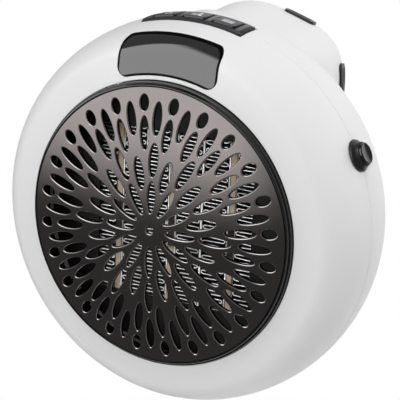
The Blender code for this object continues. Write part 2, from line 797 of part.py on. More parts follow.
def seam_tongue(first):
    """The step at the rear shell's edge that slips inside the front one."""
    sagitta = (CROWN_R - FACE_R) * (1 - math.cos(FACE_ANGLE / CURVE_STEPS / 2))
    tongue_r = casing_radius(first - TONGUE_LENGTH, WALL) - sagitta - GAP
    inner_r = tongue_r - TONGUE_THICKNESS
    return [
        (tongue_r, first),
        (tongue_r, first - TONGUE_LENGTH),
        (inner_r, first - TONGUE_LENGTH),
        (inner_r, first + TONGUE_LENGTH),
    ]


def tongue_inside():
    """The smallest radius inside the tongue, at the middle of a facet."""
    return seam_tongue(SEAM_DEPTH)[-1][0] * math.cos(math.pi / SHELL_STEPS)


def sleeve_end():
    """Where the side switch's sleeve stops, so that the body below it clears the tongue."""
    inside = tongue_inside()
    return inside - SWITCH_BODY**2 / (8 * inside)


def make_rear_shell(vents, panel_recess, openings, seat, hole):
    first = SEAM_DEPTH + GAP / 2
    inner_start = first + TONGUE_LENGTH + TONGUE_THICKNESS
    section = back_line(0.0, first)[::-1] + seam_tongue(first) + back_line(WALL, inner_start)
    shell = turned("rear_shell", section, steps=SHELL_STEPS, closed=False)
    join(shell, lobed("boss_outside", boss_line(0.0, BOSS_ROOT_DEPTH)))
    hollow_front = BOSS_ROOT_DEPTH - BOSS_SUNK
    hollow = turned(
        "casing_inside",
        back_line(WALL + GAP, hollow_front)[::-1] + [(0, hollow_front)],
        steps=SHELL_STEPS,
        closed=False,
        guide=True,
    )
    cut(shell, hollow, lobed("boss_inside", boss_line(WALL, BOSS_ROOT_DEPTH - WALL)))
    case_root = back_face_depth(CASE_SCREW_R + POST_R, WALL / 2)
    for index, angle in enumerate(CASE_SCREW_ANGLES):
        at = polar(CASE_SCREW_R, angle)
        join(shell, depth_rod(f"rear_post_{index}", POST_R + WALL / 2, at, first, case_root))
    fan_root = back_face_depth(FAN_POST_R + POST_R, WALL / 2)
    for index, angle in enumerate(FAN_POST_ANGLES):
        at = polar(FAN_POST_R, angle)
        join(shell, depth_rod(f"fan_post_{index}", POST_R, at, SHROUD_BACK + GAP, fan_root))
    for index, at in enumerate(power_posts()):
        seat_depth = POWER_BOARD_DEPTH + POWER_BOARD_SIZE[1] + GAP
        end_wall = BOSS_END_DEPTH - WALL / 2
        join(shell, depth_rod(f"power_post_{index}", SMALL_POST_R, at, seat_depth, end_wall, BOSS_AXIS))
    cut(shell, panel_recess, *openings, seat, hole, vents)
    bore_r = (PLUG_BARREL_R + GAP) / math.cos(math.pi / ROUND_STEPS)
    low, high = BOSS_END_DEPTH - WALL - OVERRUN, BOSS_END_DEPTH + OVERRUN
    cut(shell, depth_rod("plug_bore", bore_r, (0, 0), low, high, BOSS_AXIS, ROUND_STEPS))
    slots = []
    for index in range(INLET_COUNT):
        up = BOSS_Z - INLET_TOP_DROP - index * INLET_PITCH
        outline = rectangle(INLET_LENGTH, INLET_SLOT, INLET_SLOT / 2, (0, up))
        slots.append(prism(f"inlet_{index}", [outline], back_depth(WALL) - OVERRUN, back_depth() + OVERRUN))
    cut(shell, merged_guide("inlet_slots", slots))
    for index, angle in enumerate(CASE_SCREW_ANGLES):
        at = polar(CASE_SCREW_R, angle)
        cut(shell, depth_rod(f"rear_pilot_{index}", SCREW_SHANK_R + GAP, at, first - OVERRUN, case_root))
        cut(shell, depth_rod(f"head_well_{index}", SCREW_HEAD_R + GAP, at, CASE_HEAD_DEPTH, back_depth()))
    for index, angle in enumerate(FAN_POST_ANGLES):
        at = polar(FAN_POST_R, angle)
        bottom = SHROUD_BACK - FAN_EAR_THICKNESS + SHORT_SCREW_LENGTH
        cut(shell, depth_rod(f"fan_pilot_{index}", SCREW_SHANK_R + GAP, at, SHROUD_BACK, bottom))
    for index, at in enumerate(power_posts()):
        top = POWER_BOARD_DEPTH + SMALL_SCREW_LENGTH
        pilot_r = SMALL_SHANK_R + GAP
        cut(shell, depth_rod(f"power_pilot_{index}", pilot_r, at, POWER_BOARD_DEPTH, top, BOSS_AXIS))
    finish(shell, WHITE_SHARE, 0.38)
    return shell


def dome_depth(radius):
    """Depth of the grille's front, which stands out in front of the ring's plane."""
    return DOME_FALL * (radius / RING_R) ** 2 - DOME_HEIGHT


def make_trim_ring():
    edge_front = dome_depth(RING_LIP_R)
    ledge = edge_front + GRILLE_THICKNESS + GAP
    inner_skirt = RING_R - RING_SKIRT_THICKNESS
    section = [
        (RING_R, RING_SKIRT_DEPTH),
        (RING_R, 0),
        (RING_R - RING_LIP_RISE, -RING_LIP_RISE),
        ((RING_R + RING_LIP_R) / 2, (edge_front - RING_LIP_RISE) / 2 - RING_LIP_RISE),
        (RING_LIP_R + RING_LIP_RISE, edge_front - RING_LIP_RISE),
        (RING_LIP_R, edge_front),
        (RING_LIP_R, ledge),
        (RING_LEDGE_R, ledge),
        (RING_LEDGE_R, ledge + RING_LEDGE_THICKNESS),
        (inner_skirt, ledge + RING_LEDGE_THICKNESS),
        (inner_skirt, RING_SKIRT_DEPTH),
    ]
    ring = turned("trim_ring", section, steps=SHELL_STEPS)
    finish(ring, BLACK_SHARE, 0.12)
    return ring


def slot_outline(middle, length, width, angle):
    """An ellipse whose long axis points out from the centre."""
    centre = polar(middle, angle)
    points = []
    for i in range(SLOT_STEPS):
        turn = 2 * math.pi * i / SLOT_STEPS
        along = length / 2 * math.cos(turn)
        across = width / 2 * math.sin(turn)
        points.append(
            (
                centre[0] + along * math.sin(angle) + across * math.cos(angle),
                centre[1] + along * math.cos(angle) - across * math.sin(angle),
            )
        )
    return points


def make_grille():
    """A flat slotted disc, drawn as one outline with its holes and then domed."""
    edge = RING_LIP_R - GAP
    loops = [arc((0, 0), edge, 0, 2 * math.pi, GRILLE_EDGE_STEPS)[:-1]]
    loops.append(arc((0, 0), HUB_HOLE_R, 0, 2 * math.pi, SLOT_STEPS)[:-1])
    for count, start, inner, outer, width in SLOT_ROW_SHARES:
        middle, length = RING_R * (inner + outer) / 2, RING_R * (outer - inner)
        for index in range(count):
            angle = (index + start) * 2 * math.pi / count
            loops.append(slot_outline(middle, length, RING_R * width, angle))
    grille = prism("grille", loops, 0, GRILLE_THICKNESS)
    work = bmesh.new()
    work.from_mesh(grille.data)
    caps = [face for face in work.faces if abs(face.normal.z) > 0.5]
    inner_edges = [edge for edge in work.edges if all(abs(face.normal.z) > 0.5 for face in edge.link_faces)]
    bmesh.ops.beautify_fill(work, faces=caps, edges=inner_edges)
    for vertex in work.verts:
        vertex.co.z -= dome_depth(math.hypot(vertex.co.x, vertex.co.y))
    work.to_mesh(grille.data)
    work.free()
    grille.data.set_sharp_from_angle(angle=SHARP_ANGLE)
    finish(grille, GUNMETAL_SHARE, 0.22, 0.6)
    return grille


def make_display():
    window = turned("display_window", front_line(DISPLAY_LENS) + front_line(0.0)[::-1], steps=SHELL_STEPS)
    keep(window, prism("window_outline", [display_outline()], -OVERRUN, SEAM_DEPTH, guide=True))
    finish(window, LENS_SHARE, 0.08)
    board = block(
        "display_board",
        DISPLAY_BOARD_SIZE,
        (0, DISPLAY_BOARD_DEPTH + DISPLAY_BOARD_SIZE[1] / 2, DISPLAY_BOARD_Z),
    )
    finish(board, BOARD_SHARE, 0.45)
    module = block(
        "display_module",
        MODULE_SIZE,
        (0, DISPLAY_BOARD_DEPTH - GAP - MODULE_SIZE[1] / 2, DISPLAY_BOARD_Z),
    )
    finish(module, BLACK_SHARE, 0.5)


def make_panel(openings):
    """The dark strip over the crown, cut for its three buttons."""
    bottom = crown_line(PANEL_FRONT, PANEL_BACK, PANEL_SINK)
    top = crown_line(PANEL_FRONT, PANEL_BACK, -PANEL_PROUD)
    panel = turned("control_panel", bottom + top[::-1], steps=SHELL_STEPS * 2)
    outline = panel_wedge(PANEL_HALF_ANGLE)
    keep(panel, prism("panel_outline", [outline], PANEL_FRONT - OVERRUN, PANEL_BACK + OVERRUN, guide=True))
    cut(panel, *openings)
    finish(panel, PANEL_SHARE, 0.35)


def tact_top():
    return BUTTON_BOARD_Z + BUTTON_BOARD_SIZE[2] + GAP + TACT_HEIGHT


def make_buttons():
    """Three caps, each with a wider flange under the wall and a stem over its switch."""
    front_inside = casing_radius(PANEL_FRONT, WALL) * math.cos(math.pi / SHELL_STEPS)
    inner_wall = min(front_inside, tongue_inside())
    reach = (BUTTON_WIDTH + BUTTON_FLANGE) / 2
    flange_top = inner_wall - reach**2 / (2 * inner_wall) - GAP
    for index, name in enumerate(BUTTONS):
        angle = button_angle(index)
        frame = radial(angle, name + "_axis")
        head_bottom = flange_top - BUTTON_FLANGE_THICKNESS / 2
        head_height = button_top() - head_bottom
        head = block(
            name,
            (BUTTON_WIDTH, BUTTON_LENGTH, head_height),
            (0, button_depth(), head_bottom + head_height / 2),
            frame,
            BUTTON_EDGE,
        )
        flange = block(
            name + "_flange",
            (BUTTON_WIDTH + BUTTON_FLANGE, BUTTON_LENGTH + BUTTON_FLANGE, BUTTON_FLANGE_THICKNESS),
            (0, button_depth(), flange_top - BUTTON_FLANGE_THICKNESS / 2),
            frame,
            guide=True,
        )
        low = (tact_top() + BUTTON_TRAVEL + GAP) / math.cos(angle) + BUTTON_STEM / 2 * abs(math.tan(angle))
        stem_height = flange_top - low
        stem = block(
            name + "_stem",
            (BUTTON_STEM, BUTTON_STEM, stem_height + BUTTON_EDGE),
            (0, button_depth(), low + (stem_height + BUTTON_EDGE) / 2),
            frame,
            guide=True,
        )
        join(head, flange, stem)
        finish(head, PANEL_SHARE, 0.4)
        at = (low * math.sin(angle), button_depth(), tact_top() - TACT_HEIGHT / 2)
        tact = block(name.replace("button", "tact_switch"), (TACT_SIZE, TACT_SIZE, TACT_HEIGHT), at)
        finish(tact, BLACK_SHARE, 0.5)
    board_middle = (0, button_depth(), BUTTON_BOARD_Z + BUTTON_BOARD_SIZE[2] / 2)
    board = block("button_board", BUTTON_BOARD_SIZE, board_middle)
    finish(board, BOARD_SHARE, 0.45)


def make_side_switch():
    """A flared collar on the seam, a dished cap that pushes in, and the switch inside."""
    frame = radial(SWITCH_ANGLE, "side_switch_axis")
    axis = empty("side_switch_frame", location=(0, SEAM_DEPTH, 0), turn=(math.pi / 2, 0, 0), parent=frame)
    base = SWITCH_SEAT_R + GAP
    sleeve_r = SWITCH_BORE_R + SWITCH_SLEEVE_WALL
    collar_top = base + SWITCH_RIM + SWITCH_COLLAR_HEIGHT
    bezel = turned(
        "side_switch_bezel",
        [
            (SWITCH_BORE_R, collar_top),
            (SWITCH_COLLAR_R, collar_top),
            ((SWITCH_COLLAR_R + SWITCH_BEZEL_R) / 2, base + SWITCH_RIM + SWITCH_COLLAR_HEIGHT / 3),
            (SWITCH_BEZEL_R, base + SWITCH_RIM),
            (SWITCH_BEZEL_R, base),
            (sleeve_r, base),
            (sleeve_r, sleeve_end()),
            (SWITCH_BORE_R, sleeve_end()),
        ],
        axis,
        ROUND_STEPS,
    )
    finish(bezel, BLACK_SHARE, 0.18)
    cap_bottom = collar_top + SWITCH_TRAVEL + GAP
    cap_top = cap_bottom + SWITCH_CAP_THICKNESS
    stem_r = SWITCH_BORE_R - GAP
    stem_end = sleeve_end() + SWITCH_TRAVEL + GAP
    cap = turned(
        "side_switch_cap",
        [
            (0, cap_top - SWITCH_CAP_DISH),
            (SWITCH_CAP_R - SWITCH_CAP_DISH, cap_top),
            (SWITCH_CAP_R, cap_top - SWITCH_CAP_DISH),
            (SWITCH_CAP_R, cap_bottom),
            (stem_r, cap_bottom),
            (stem_r, stem_end),
            (0, stem_end),
        ],
        axis,
        ROUND_STEPS,
        closed=False,
    )
    finish(cap, BLACK_SHARE, 0.15)
    body_top = sleeve_end() - GAP
    body = block(
        "side_switch_body",
        (SWITCH_BODY, SWITCH_BODY, SWITCH_BODY_LENGTH),
        (0, SEAM_DEPTH, body_top - SWITCH_BODY_LENGTH / 2),
        frame,
        BUTTON_EDGE,
    )
    finish(body, BLACK_SHARE, 0.5)


def fin_width():
    return BAR_PITCH / 2 - BAR_WIDTH / 2 - RAIL_THICKNESS / 2 - 2 * GAP


def fold_outline(centre):
    """One sheet folded to and fro up the height of the heater, as a closed outline."""
    height = HEATER_HEIGHT - 2 * GAP
    runs = 2 * round(height / FIN_PERIOD)
    rise = height / runs
    reach = fin_width() / 2
    sheet_across = FIN_SHEET * math.hypot(2 * reach, rise) / rise
    left, right = [], []
    for i in range(runs + 1):
        up = i * rise - height / 2
        if i % 2:
            left.append((centre + reach - sheet_across, up))
            right.append((centre + reach, up))
        else:
            left.append((centre - reach, up))
            right.append((centre - reach + sheet_across, up))
    return right + left[::-1]


def block_width():
    return BAR_COUNT * BAR_PITCH + RAIL_THICKNESS


def make_heater():
    """Ceramic bars in amber film, folded aluminium fins between them, and thin rails."""
    front, back = HEATER_DEPTH, HEATER_DEPTH + HEATER_THICKNESS
    middle = (front + back) / 2
    for index, name in enumerate(("left", "middle", "right")):
        x = (index - 1) * BAR_PITCH
        bar = block(f"ptc_bar_{name}", (BAR_WIDTH, HEATER_THICKNESS, HEATER_HEIGHT), (x, middle, 0))
        finish(bar, AMBER_SHARE, 0.45)
        for number, side in enumerate((-1, 1)):
            centre = x + side * (BAR_WIDTH + fin_width() + 2 * GAP) / 2
            fins = prism(f"fin_pack_{2 * index + number + 1}", [fold_outline(centre)], front, back)
            finish(fins, ALUMINIUM_SHARE, 0.3, 1.0)
    for index in range(BAR_COUNT + 1):
        x = (2 * index - BAR_COUNT) * BAR_PITCH / 2
        size = (RAIL_THICKNESS, HEATER_THICKNESS, HEATER_HEIGHT)
        finish(block(f"heater_rail_{index + 1}", size, (x, middle, 0)), ALUMINIUM_SHARE, 0.3, 1.0)
    make_heater_frame(front, back)
    top = (HEATER_HEIGHT / 2) + GAP + FRAME_WALL + GAP
    place_z = top + CUTOUT_SIZE[2] / 2
    thermal = block("thermal_cutout", CUTOUT_SIZE, (CUTOUT_X, middle, place_z), bevel=BUTTON_EDGE)
    finish(thermal, NYLON_SHARE, 0.4)


def make_heater_frame(front, back):
    width = block_width() + 2 * GAP
    height = HEATER_HEIGHT + 2 * GAP
    outer_width = width + 2 * FRAME_WALL
    outer_height = height + 2 * FRAME_WALL
    lip_front = front - GAP - FRAME_LIP_THICKNESS
    lip_back = back + GAP + FRAME_LIP_THICKNESS
    outline = rectangle(outer_width, outer_height, FRAME_CORNER)
    frame = prism("heater_frame", [outline, rectangle(width, height)], lip_front, lip_back)
    hole = rectangle(width - 2 * FRAME_LIP, height - 2 * FRAME_LIP)
    plate = arc((0, 0), RING_R - GAP, 0, 2 * math.pi, SHELL_STEPS)[:-1]
    join(frame, prism("frame_plate", [plate, hole], lip_front, front - GAP, guide=True))
    grown = rectangle(outer_width - FRAME_WALL, outer_height - FRAME_WALL)
    join(frame, prism("frame_back_lip", [grown, hole], back + GAP, lip_back, guide=True))
    for index, angle in enumerate(EAR_ANGLES):
        reach = EAR_R + EAR_WIDTH / 2
        corner = math.hypot(outer_width, outer_height) / 2 - FRAME_CORNER
        ear = block(
            f"ear_{index}",
            (EAR_WIDTH, EAR_THICKNESS, reach - corner),
            (0, EAR_DEPTH + EAR_THICKNESS / 2, (reach + corner) / 2),
            radial(angle, f"ear_frame_{index}"),
            guide=True,
        )
        join(frame, ear)
        at = polar(EAR_R, angle)
        low, high = EAR_DEPTH - OVERRUN, EAR_DEPTH + EAR_THICKNESS + OVERRUN
        cut(frame, depth_rod(f"ear_hole_{index}", SCREW_SHANK_R + GAP, at, low, high))
    finish(frame, PANEL_SHARE, 0.5)


def make_shroud():
    """The fan's duct, with arms to the motor's cup and ears for its screws."""
    inner = SHROUD_R - SHROUD_WALL
    shroud = turned(
        "fan_shroud",
        [(inner, SHROUD_FRONT), (SHROUD_R, SHROUD_FRONT), (SHROUD_R, SHROUD_BACK), (inner, SHROUD_BACK)],
        steps=BOSS_STEPS,
    )
    cup_in = MOTOR_R + GAP
    cup_out = cup_in + CUP_WALL
    plate_front = MOTOR_FRONT - GAP - CUP_WALL
    cup_back = plate_front + CUP_DEPTH
    cup = turned(
        "motor_cup",
        [
            (MOTOR_NOSE_R + GAP, plate_front),
            (cup_out, plate_front),
            (cup_out, cup_back),
            (cup_in, cup_back),
            (cup_in, plate_front + CUP_WALL),
            (MOTOR_NOSE_R + GAP, plate_front + CUP_WALL),
        ],
        steps=ROUND_STEPS,
        guide=True,
    )
    arm_length = inner + SHROUD_WALL / 2 - (cup_out - CUP_WALL / 2)
    for index in range(ARM_COUNT):
        angle = (index + 0.5) * 2 * math.pi / ARM_COUNT
        arm = block(
            f"motor_arm_{index}",
            (ARM_WIDTH, SHROUD_BACK - plate_front - GAP, arm_length),
            (0, (plate_front + SHROUD_BACK) / 2, cup_out - CUP_WALL / 2 + arm_length / 2),
            radial(angle, f"arm_frame_{index}"),
            guide=True,
        )
        join(shroud, arm)
    join(shroud, cup)
    for index, angle in enumerate(FAN_POST_ANGLES):
        reach = FAN_POST_R + POST_R
        start = SHROUD_R - SHROUD_WALL / 2
        ear = block(
            f"fan_ear_{index}",
            (2 * POST_R, FAN_EAR_THICKNESS, reach - start),
            (0, SHROUD_BACK - FAN_EAR_THICKNESS / 2, (reach + start) / 2),
            radial(angle, f"fan_ear_frame_{index}"),
            guide=True,
        )
        join(shroud, ear)
        at = polar(FAN_POST_R, angle)
        low, high = SHROUD_BACK - FAN_EAR_THICKNESS - OVERRUN, SHROUD_BACK + OVERRUN
        cut(shroud, depth_rod(f"fan_ear_hole_{index}", SCREW_SHANK_R + GAP, at, low, high))
    finish(shroud, PANEL_SHARE, 0.5)


def blade(name, angle, parent):
    """One twisted blade, a grid bent to its pitch and given its thickness."""
    root = HUB_R - HUB_WALL / 2
    work = bmesh.new()
    bmesh.ops.create_grid(work, x_segments=2, y_segments=3, size=1.0)
    for vertex in work.verts:
        share = (vertex.co.y + 1) / 2
        radius = root + (IMPELLER_R - root) * share
        chord = BLADE_ROOT_CHORD + (BLADE_TIP_CHORD - BLADE_ROOT_CHORD) * share
        pitch = BLADE_ROOT_PITCH + (BLADE_TIP_PITCH - BLADE_ROOT_PITCH) * share
        along = vertex.co.x * chord / 2
        sweep = along * math.cos(pitch) / radius
        vertex.co = (radius * math.sin(sweep), along * math.sin(pitch), radius * math.cos(sweep))
    made = place(name, mesh_from(work), parent, True)
    made.rotation_euler = (0, angle, 0)
    made.location = (0, (IMPELLER_FRONT + IMPELLER_BACK) / 2, 0)
    solid = made.modifiers.new("thickness", "SOLIDIFY")
    solid.thickness = BLADE_THICKNESS
    solid.offset = 0
    return made


def make_fan():
    axis = empty("fan_axis", parent=RING)
    impeller = turned(
        "impeller",
        [
            (SHAFT_R + GAP, IMPELLER_FRONT + HUB_WALL),
            (SHAFT_R + GAP, IMPELLER_BACK),
            (HUB_CORE_R, IMPELLER_BACK),
            (HUB_CORE_R, IMPELLER_FRONT + 2 * HUB_WALL),
            (HUB_R - HUB_WALL, IMPELLER_FRONT + 2 * HUB_WALL),
            (HUB_R - HUB_WALL, IMPELLER_BACK),
            (HUB_R, IMPELLER_BACK),
            (HUB_R, IMPELLER_FRONT + HUB_WALL),
            (HUB_R - HUB_WALL, IMPELLER_FRONT),
            (0, IMPELLER_FRONT),
            (0, IMPELLER_FRONT + HUB_WALL),
        ],
        axis,
        ROUND_STEPS,
    )
    for index in range(BLADE_COUNT):
        join(impeller, blade(f"blade_{index}", index * 2 * math.pi / BLADE_COUNT, axis))
    finish(impeller, NYLON_SHARE, 0.45)
    motor_back = MOTOR_FRONT + MOTOR_LENGTH
    motor = turned(
        "fan_motor",
        [
            (SHAFT_R + GAP, motor_back),
            (MOTOR_R - MOTOR_NOSE, motor_back),
            (MOTOR_R, motor_back - MOTOR_NOSE),
            (MOTOR_R, MOTOR_FRONT),
            (MOTOR_NOSE_R, MOTOR_FRONT),
            (MOTOR_NOSE_R, MOTOR_FRONT - MOTOR_NOSE),
            (SHAFT_R + GAP, MOTOR_FRONT - MOTOR_NOSE),
        ],
        steps=ROUND_STEPS,
    )
    finish(motor, STEEL_SHARE, 0.35, 1.0)
    shaft_front = IMPELLER_BACK - SHAFT_IN_HUB
    shaft = rod("motor_shaft", SHAFT_R, (0, shaft_front, 0), (0, motor_back - MOTOR_NOSE, 0), axis)
    finish(shaft, STEEL_SHARE, 0.25, 1.0)


def screw_set(name, places, head_depth, length, head_r, head_height, shank_r, parent=RING, facing=1):
    """Identical screws; facing is 1 where the head is on the back's side and -1 on the front's."""
    for index, (across, up) in enumerate(places):
        frame = empty(f"{name}_frame_{index}", location=(across, head_depth, up), parent=parent)
        frame.rotation_euler = (0, 0, 0) if facing > 0 else (0, 0, math.pi)
        screw = turned(
            f"{name}_{index + 1}",
            [
                (0, head_height),
                (head_r - head_height / 2, head_height),
                (head_r, 0),
                (shank_r, 0),
                (shank_r, -length),
                (0, -length),
            ],
            frame,
            SMALL_STEPS,
            closed=False,
        )
        finish(screw, STEEL_SHARE, 0.3, 1.0)


def make_screws():
    case_places = [polar(CASE_SCREW_R, angle) for angle in CASE_SCREW_ANGLES]
    head = (SCREW_HEAD_R, SCREW_HEAD_HEIGHT, SCREW_SHANK_R)
    screw_set("case_screw", case_places, CASE_HEAD_DEPTH + GAP, CASE_SCREW_LENGTH, *head)
    ear_places = [polar(EAR_R, angle) for angle in EAR_ANGLES]
    screw_set("heater_screw", ear_places, EAR_DEPTH + EAR_THICKNESS + GAP, SHORT_SCREW_LENGTH, *head)
    fan_places = [polar(FAN_POST_R, angle) for angle in FAN_POST_ANGLES]
    fan_head = SHROUD_BACK - FAN_EAR_THICKNESS - GAP
    screw_set("fan_screw", fan_places, fan_head, SHORT_SCREW_LENGTH, *head, facing=-1)
    small = (SMALL_HEAD_R, SMALL_HEAD_HEIGHT, SMALL_SHANK_R)
    board_head = POWER_BOARD_DEPTH - GAP
    screw_set("board_screw", power_posts(), board_head, SMALL_SCREW_LENGTH, *small, BOSS_AXIS, -1)


def make_power_board():
    """Mains board across the boss, with its relay and capacitor towards the fan."""
    board = block(
        "power_board",
        POWER_BOARD_SIZE,
        (0, POWER_BOARD_DEPTH + POWER_BOARD_SIZE[1] / 2, 0),
        BOSS_AXIS,
    )
    low, high = POWER_BOARD_DEPTH - OVERRUN, POWER_BOARD_DEPTH + POWER_BOARD_SIZE[1] + OVERRUN
    for index, at in enumerate(power_posts()):
        cut(board, depth_rod(f"board_hole_{index}", SMALL_SHANK_R + GAP, at, low, high, BOSS_AXIS))
    finish(board, BOARD_SHARE, 0.45)
    relay_depth = POWER_BOARD_DEPTH - GAP - RELAY_SIZE[1] / 2
    relay = block("relay", RELAY_SIZE, (RELAY_X, relay_depth, RELAY_Z), BOSS_AXIS, BUTTON_EDGE)
    finish(relay, BLUE_SHARE, 0.4)
    can_back = POWER_BOARD_DEPTH - GAP
    capacitor = rod(
        "capacitor",
        CAPACITOR_R,
        (CAPACITOR_X, can_back - CAPACITOR_LENGTH, CAPACITOR_Z),
        (CAPACITOR_X, can_back, CAPACITOR_Z),
        BOSS_AXIS,
        PIN_STEPS,
    )
    finish(capacitor, BLACK_SHARE, 0.3)


def intake_line(inset, front, back):
    """The part of the boss's section that lies between two depths."""
    line = boss_line(inset, BOSS_ROOT_DEPTH)
    points = [(radius_at(line, front), front)]
    points += [point for point in line if front < point[1] < back]
    return points + [(radius_at(line, back), back)]


def radius_at(line, depth):
    for (near_r, near), (far_r, far) in zip(line, line[1:]):
        if near <= depth <= far:
            return near_r + (far_r - near_r) * (depth - near) / (far - near)
    return line[-1][0]


def make_intake_ring(boxes):
    """A black ring inside the boss whose five slotted pads stand through the windows."""
    root = VENT_BACK - INTAKE_LENGTH
    inside = WALL + GAP
    ring = lobed("intake_ring", intake_line(inside, root, VENT_BACK), guide=False)
    pads = lobed("intake_pads", intake_line(-VENT_PROUD, root, BOSS_END_DEPTH))
    keep(pads, boxes)
    join(ring, pads)
    cut(ring, lobed("intake_bore", intake_line(inside + INTAKE_WALL, root - OVERRUN, BOSS_END_DEPTH)))
    pieces = []
    pitch = (VENT_BACK - VENT_FRONT - 2 * VENT_FRAME) / VENT_SLOTS
    length = VENT_WIDTH - 2 * VENT_FRAME - 2 * GAP
    for index in range(VENT_COUNT):
        frame = vent_frame(index, "vent_slot")
        for number in range(VENT_SLOTS):
            depth = VENT_FRONT + VENT_FRAME + (number + 0.5) * pitch
            middle = (0, depth, BOSS_R - BOSS_SHOULDER_R / 2)
            size = (length, VENT_SLOT_WIDTH, 2 * BOSS_SHOULDER_R)
            pieces.append(block(f"vent_slot_{index}_{number}", size, middle, frame))
    cut(ring, merged_guide("vent_slots", pieces))
    finish(ring, BLACK_SHARE, 0.4)


def make_plug():
    """The turning plug: a keyed round body outside the boss, held by a ring inside it."""
    wall_inside = BOSS_END_DEPTH - WALL
    collar_back = BOSS_END_DEPTH + GAP + PLUG_COLLAR_HEIGHT
    neck_end = wall_inside - NECK_LENGTH - RETAINER_THICKNESS - GAP
    face = PLUG_FACE_DEPTH
    carrier = turned(
        "plug_carrier",
        [
            (0, face),
            (PLUG_BODY_R - PLUG_BEVEL, face),
            (PLUG_BODY_R, face - PLUG_BEVEL),
            (PLUG_BODY_R, collar_back),
            (PLUG_COLLAR_R - PLUG_BEVEL / 2, collar_back),
            (PLUG_COLLAR_R, collar_back - PLUG_BEVEL / 2),
            (PLUG_COLLAR_R, BOSS_END_DEPTH + GAP),
            (PLUG_BARREL_R, BOSS_END_DEPTH + GAP),
            (PLUG_BARREL_R, wall_inside),
            (NECK_R, wall_inside),
            (NECK_R, neck_end),
            (0, neck_end),
        ],
        BOSS_AXIS,
        BOSS_STEPS,
        closed=False,
    )
    for side in (-1, 1):
        key = block(
            f"plug_key_{side}",
            (PLUG_KEY_WIDTH, PLUG_BODY_LENGTH, 2 * PLUG_KEY_DEPTH),
            (0, collar_back + PLUG_BODY_LENGTH / 2, side * PLUG_BODY_R),
            BOSS_AXIS,
            guide=True,
        )
        cut(carrier, key)
    pin_start = face - PIN_INSIDE
    for side, name in ((-1, "plug_pin_left"), (1, "plug_pin_right")):
        x = side * PIN_SPACING / 2
        bore = rod(
            name + "_bore",
            PIN_R + GAP,
            (x, neck_end - OVERRUN, 0),
            (x, face + OVERRUN, 0),
            BOSS_AXIS,
            PIN_STEPS,
            True,
        )
        cut(carrier, bore)
        frame = empty(name + "_axis", location=(x, 0, 0), parent=BOSS_AXIS)
        dome_base = face + PIN_LENGTH - PIN_R
        section = []
        for i in range(CORNER_STEPS + 1):
            turn = math.pi / 2 * i / CORNER_STEPS
            section.append((PIN_R * math.sin(turn), dome_base + PIN_R * math.cos(turn)))
        section += [(PIN_R, pin_start), (0, pin_start)]
        pin = turned(name, section, frame, PIN_STEPS, closed=False)
        finish(pin, STEEL_SHARE, 0.2, 1.0)
    finish(carrier, BLACK_SHARE, 0.35)
    ring_back = wall_inside - GAP
    retainer = turned(
        "plug_retainer",
        [
            (NECK_R + GAP, ring_back),
            (RETAINER_R, ring_back),
            (RETAINER_R, ring_back - RETAINER_THICKNESS),
            (NECK_R + GAP, ring_back - RETAINER_THICKNESS),
        ],
        BOSS_AXIS,
        ROUND_STEPS,
    )
    finish(retainer, STEEL_SHARE, 0.35, 1.0)
    for side, name in ((-1, "plug_contact_left"), (1, "plug_contact_right")):
        middle = (side * PIN_SPACING / 2, neck_end - GAP - CONTACT_SIZE[1] / 2, 0)
        finish(block(name, CONTACT_SIZE, middle, BOSS_AXIS), BRASS_SHARE, 0.3, 1.0)


def build():
    pocket, opening = display_cutters()
    panel_recess = panel_cutters(GAP)
    openings = button_openings()
    seat, hole = switch_cutters()
    make_front_shell(pocket, opening, panel_recess, openings, seat, hole)
    make_rear_shell(vent_boxes("vent_windows", 0.0), panel_recess, openings, seat, hole)
    make_trim_ring()
    make_grille()
    make_display()
    make_panel(openings)
    make_buttons()
    make_side_switch()
    make_heater()
    make_shroud()
    make_fan()
    make_screws()
    make_power_board()
    make_intake_ring(vent_boxes("vent_outlines", GAP))
    make_plug()
    bpy.context.view_layer.update()


build()
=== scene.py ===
# %% [markdown]
# # Plug-in fan heater
#
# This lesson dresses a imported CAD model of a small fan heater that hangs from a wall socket. The model
# gives the sizes and the moving bodies. The cells below add a camera, soft studio light, finer pieces
# where the eye rests, and a finish for every piece. All lengths are in metres.

import math

import bmesh
import bpy
from mathutils import Matrix, Vector


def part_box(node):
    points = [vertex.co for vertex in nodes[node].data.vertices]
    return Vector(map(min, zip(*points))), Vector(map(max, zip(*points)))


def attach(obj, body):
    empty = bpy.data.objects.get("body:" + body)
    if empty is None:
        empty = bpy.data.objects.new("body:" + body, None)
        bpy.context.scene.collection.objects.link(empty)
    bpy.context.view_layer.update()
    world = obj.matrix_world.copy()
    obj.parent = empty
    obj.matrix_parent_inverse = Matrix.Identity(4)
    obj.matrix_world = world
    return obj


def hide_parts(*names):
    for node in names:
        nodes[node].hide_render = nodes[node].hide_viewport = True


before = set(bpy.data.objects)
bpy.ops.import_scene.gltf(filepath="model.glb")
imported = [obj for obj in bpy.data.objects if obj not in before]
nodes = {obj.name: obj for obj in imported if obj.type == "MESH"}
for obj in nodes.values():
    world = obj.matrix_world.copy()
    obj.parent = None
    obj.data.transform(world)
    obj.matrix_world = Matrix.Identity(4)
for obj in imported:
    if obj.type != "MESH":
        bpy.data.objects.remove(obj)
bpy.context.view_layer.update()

# %% [markdown]
# ## A place to measure from
#
# The heater is round, so the middle of the grille's ring is the handiest place to measure from. Across
# is X, up is Z, and depth runs back from the ring's plane along Y. The ring's skirt ends 9 mm behind
# that plane, which finds the plane from the ring's box. The plug has its own axis, higher up.

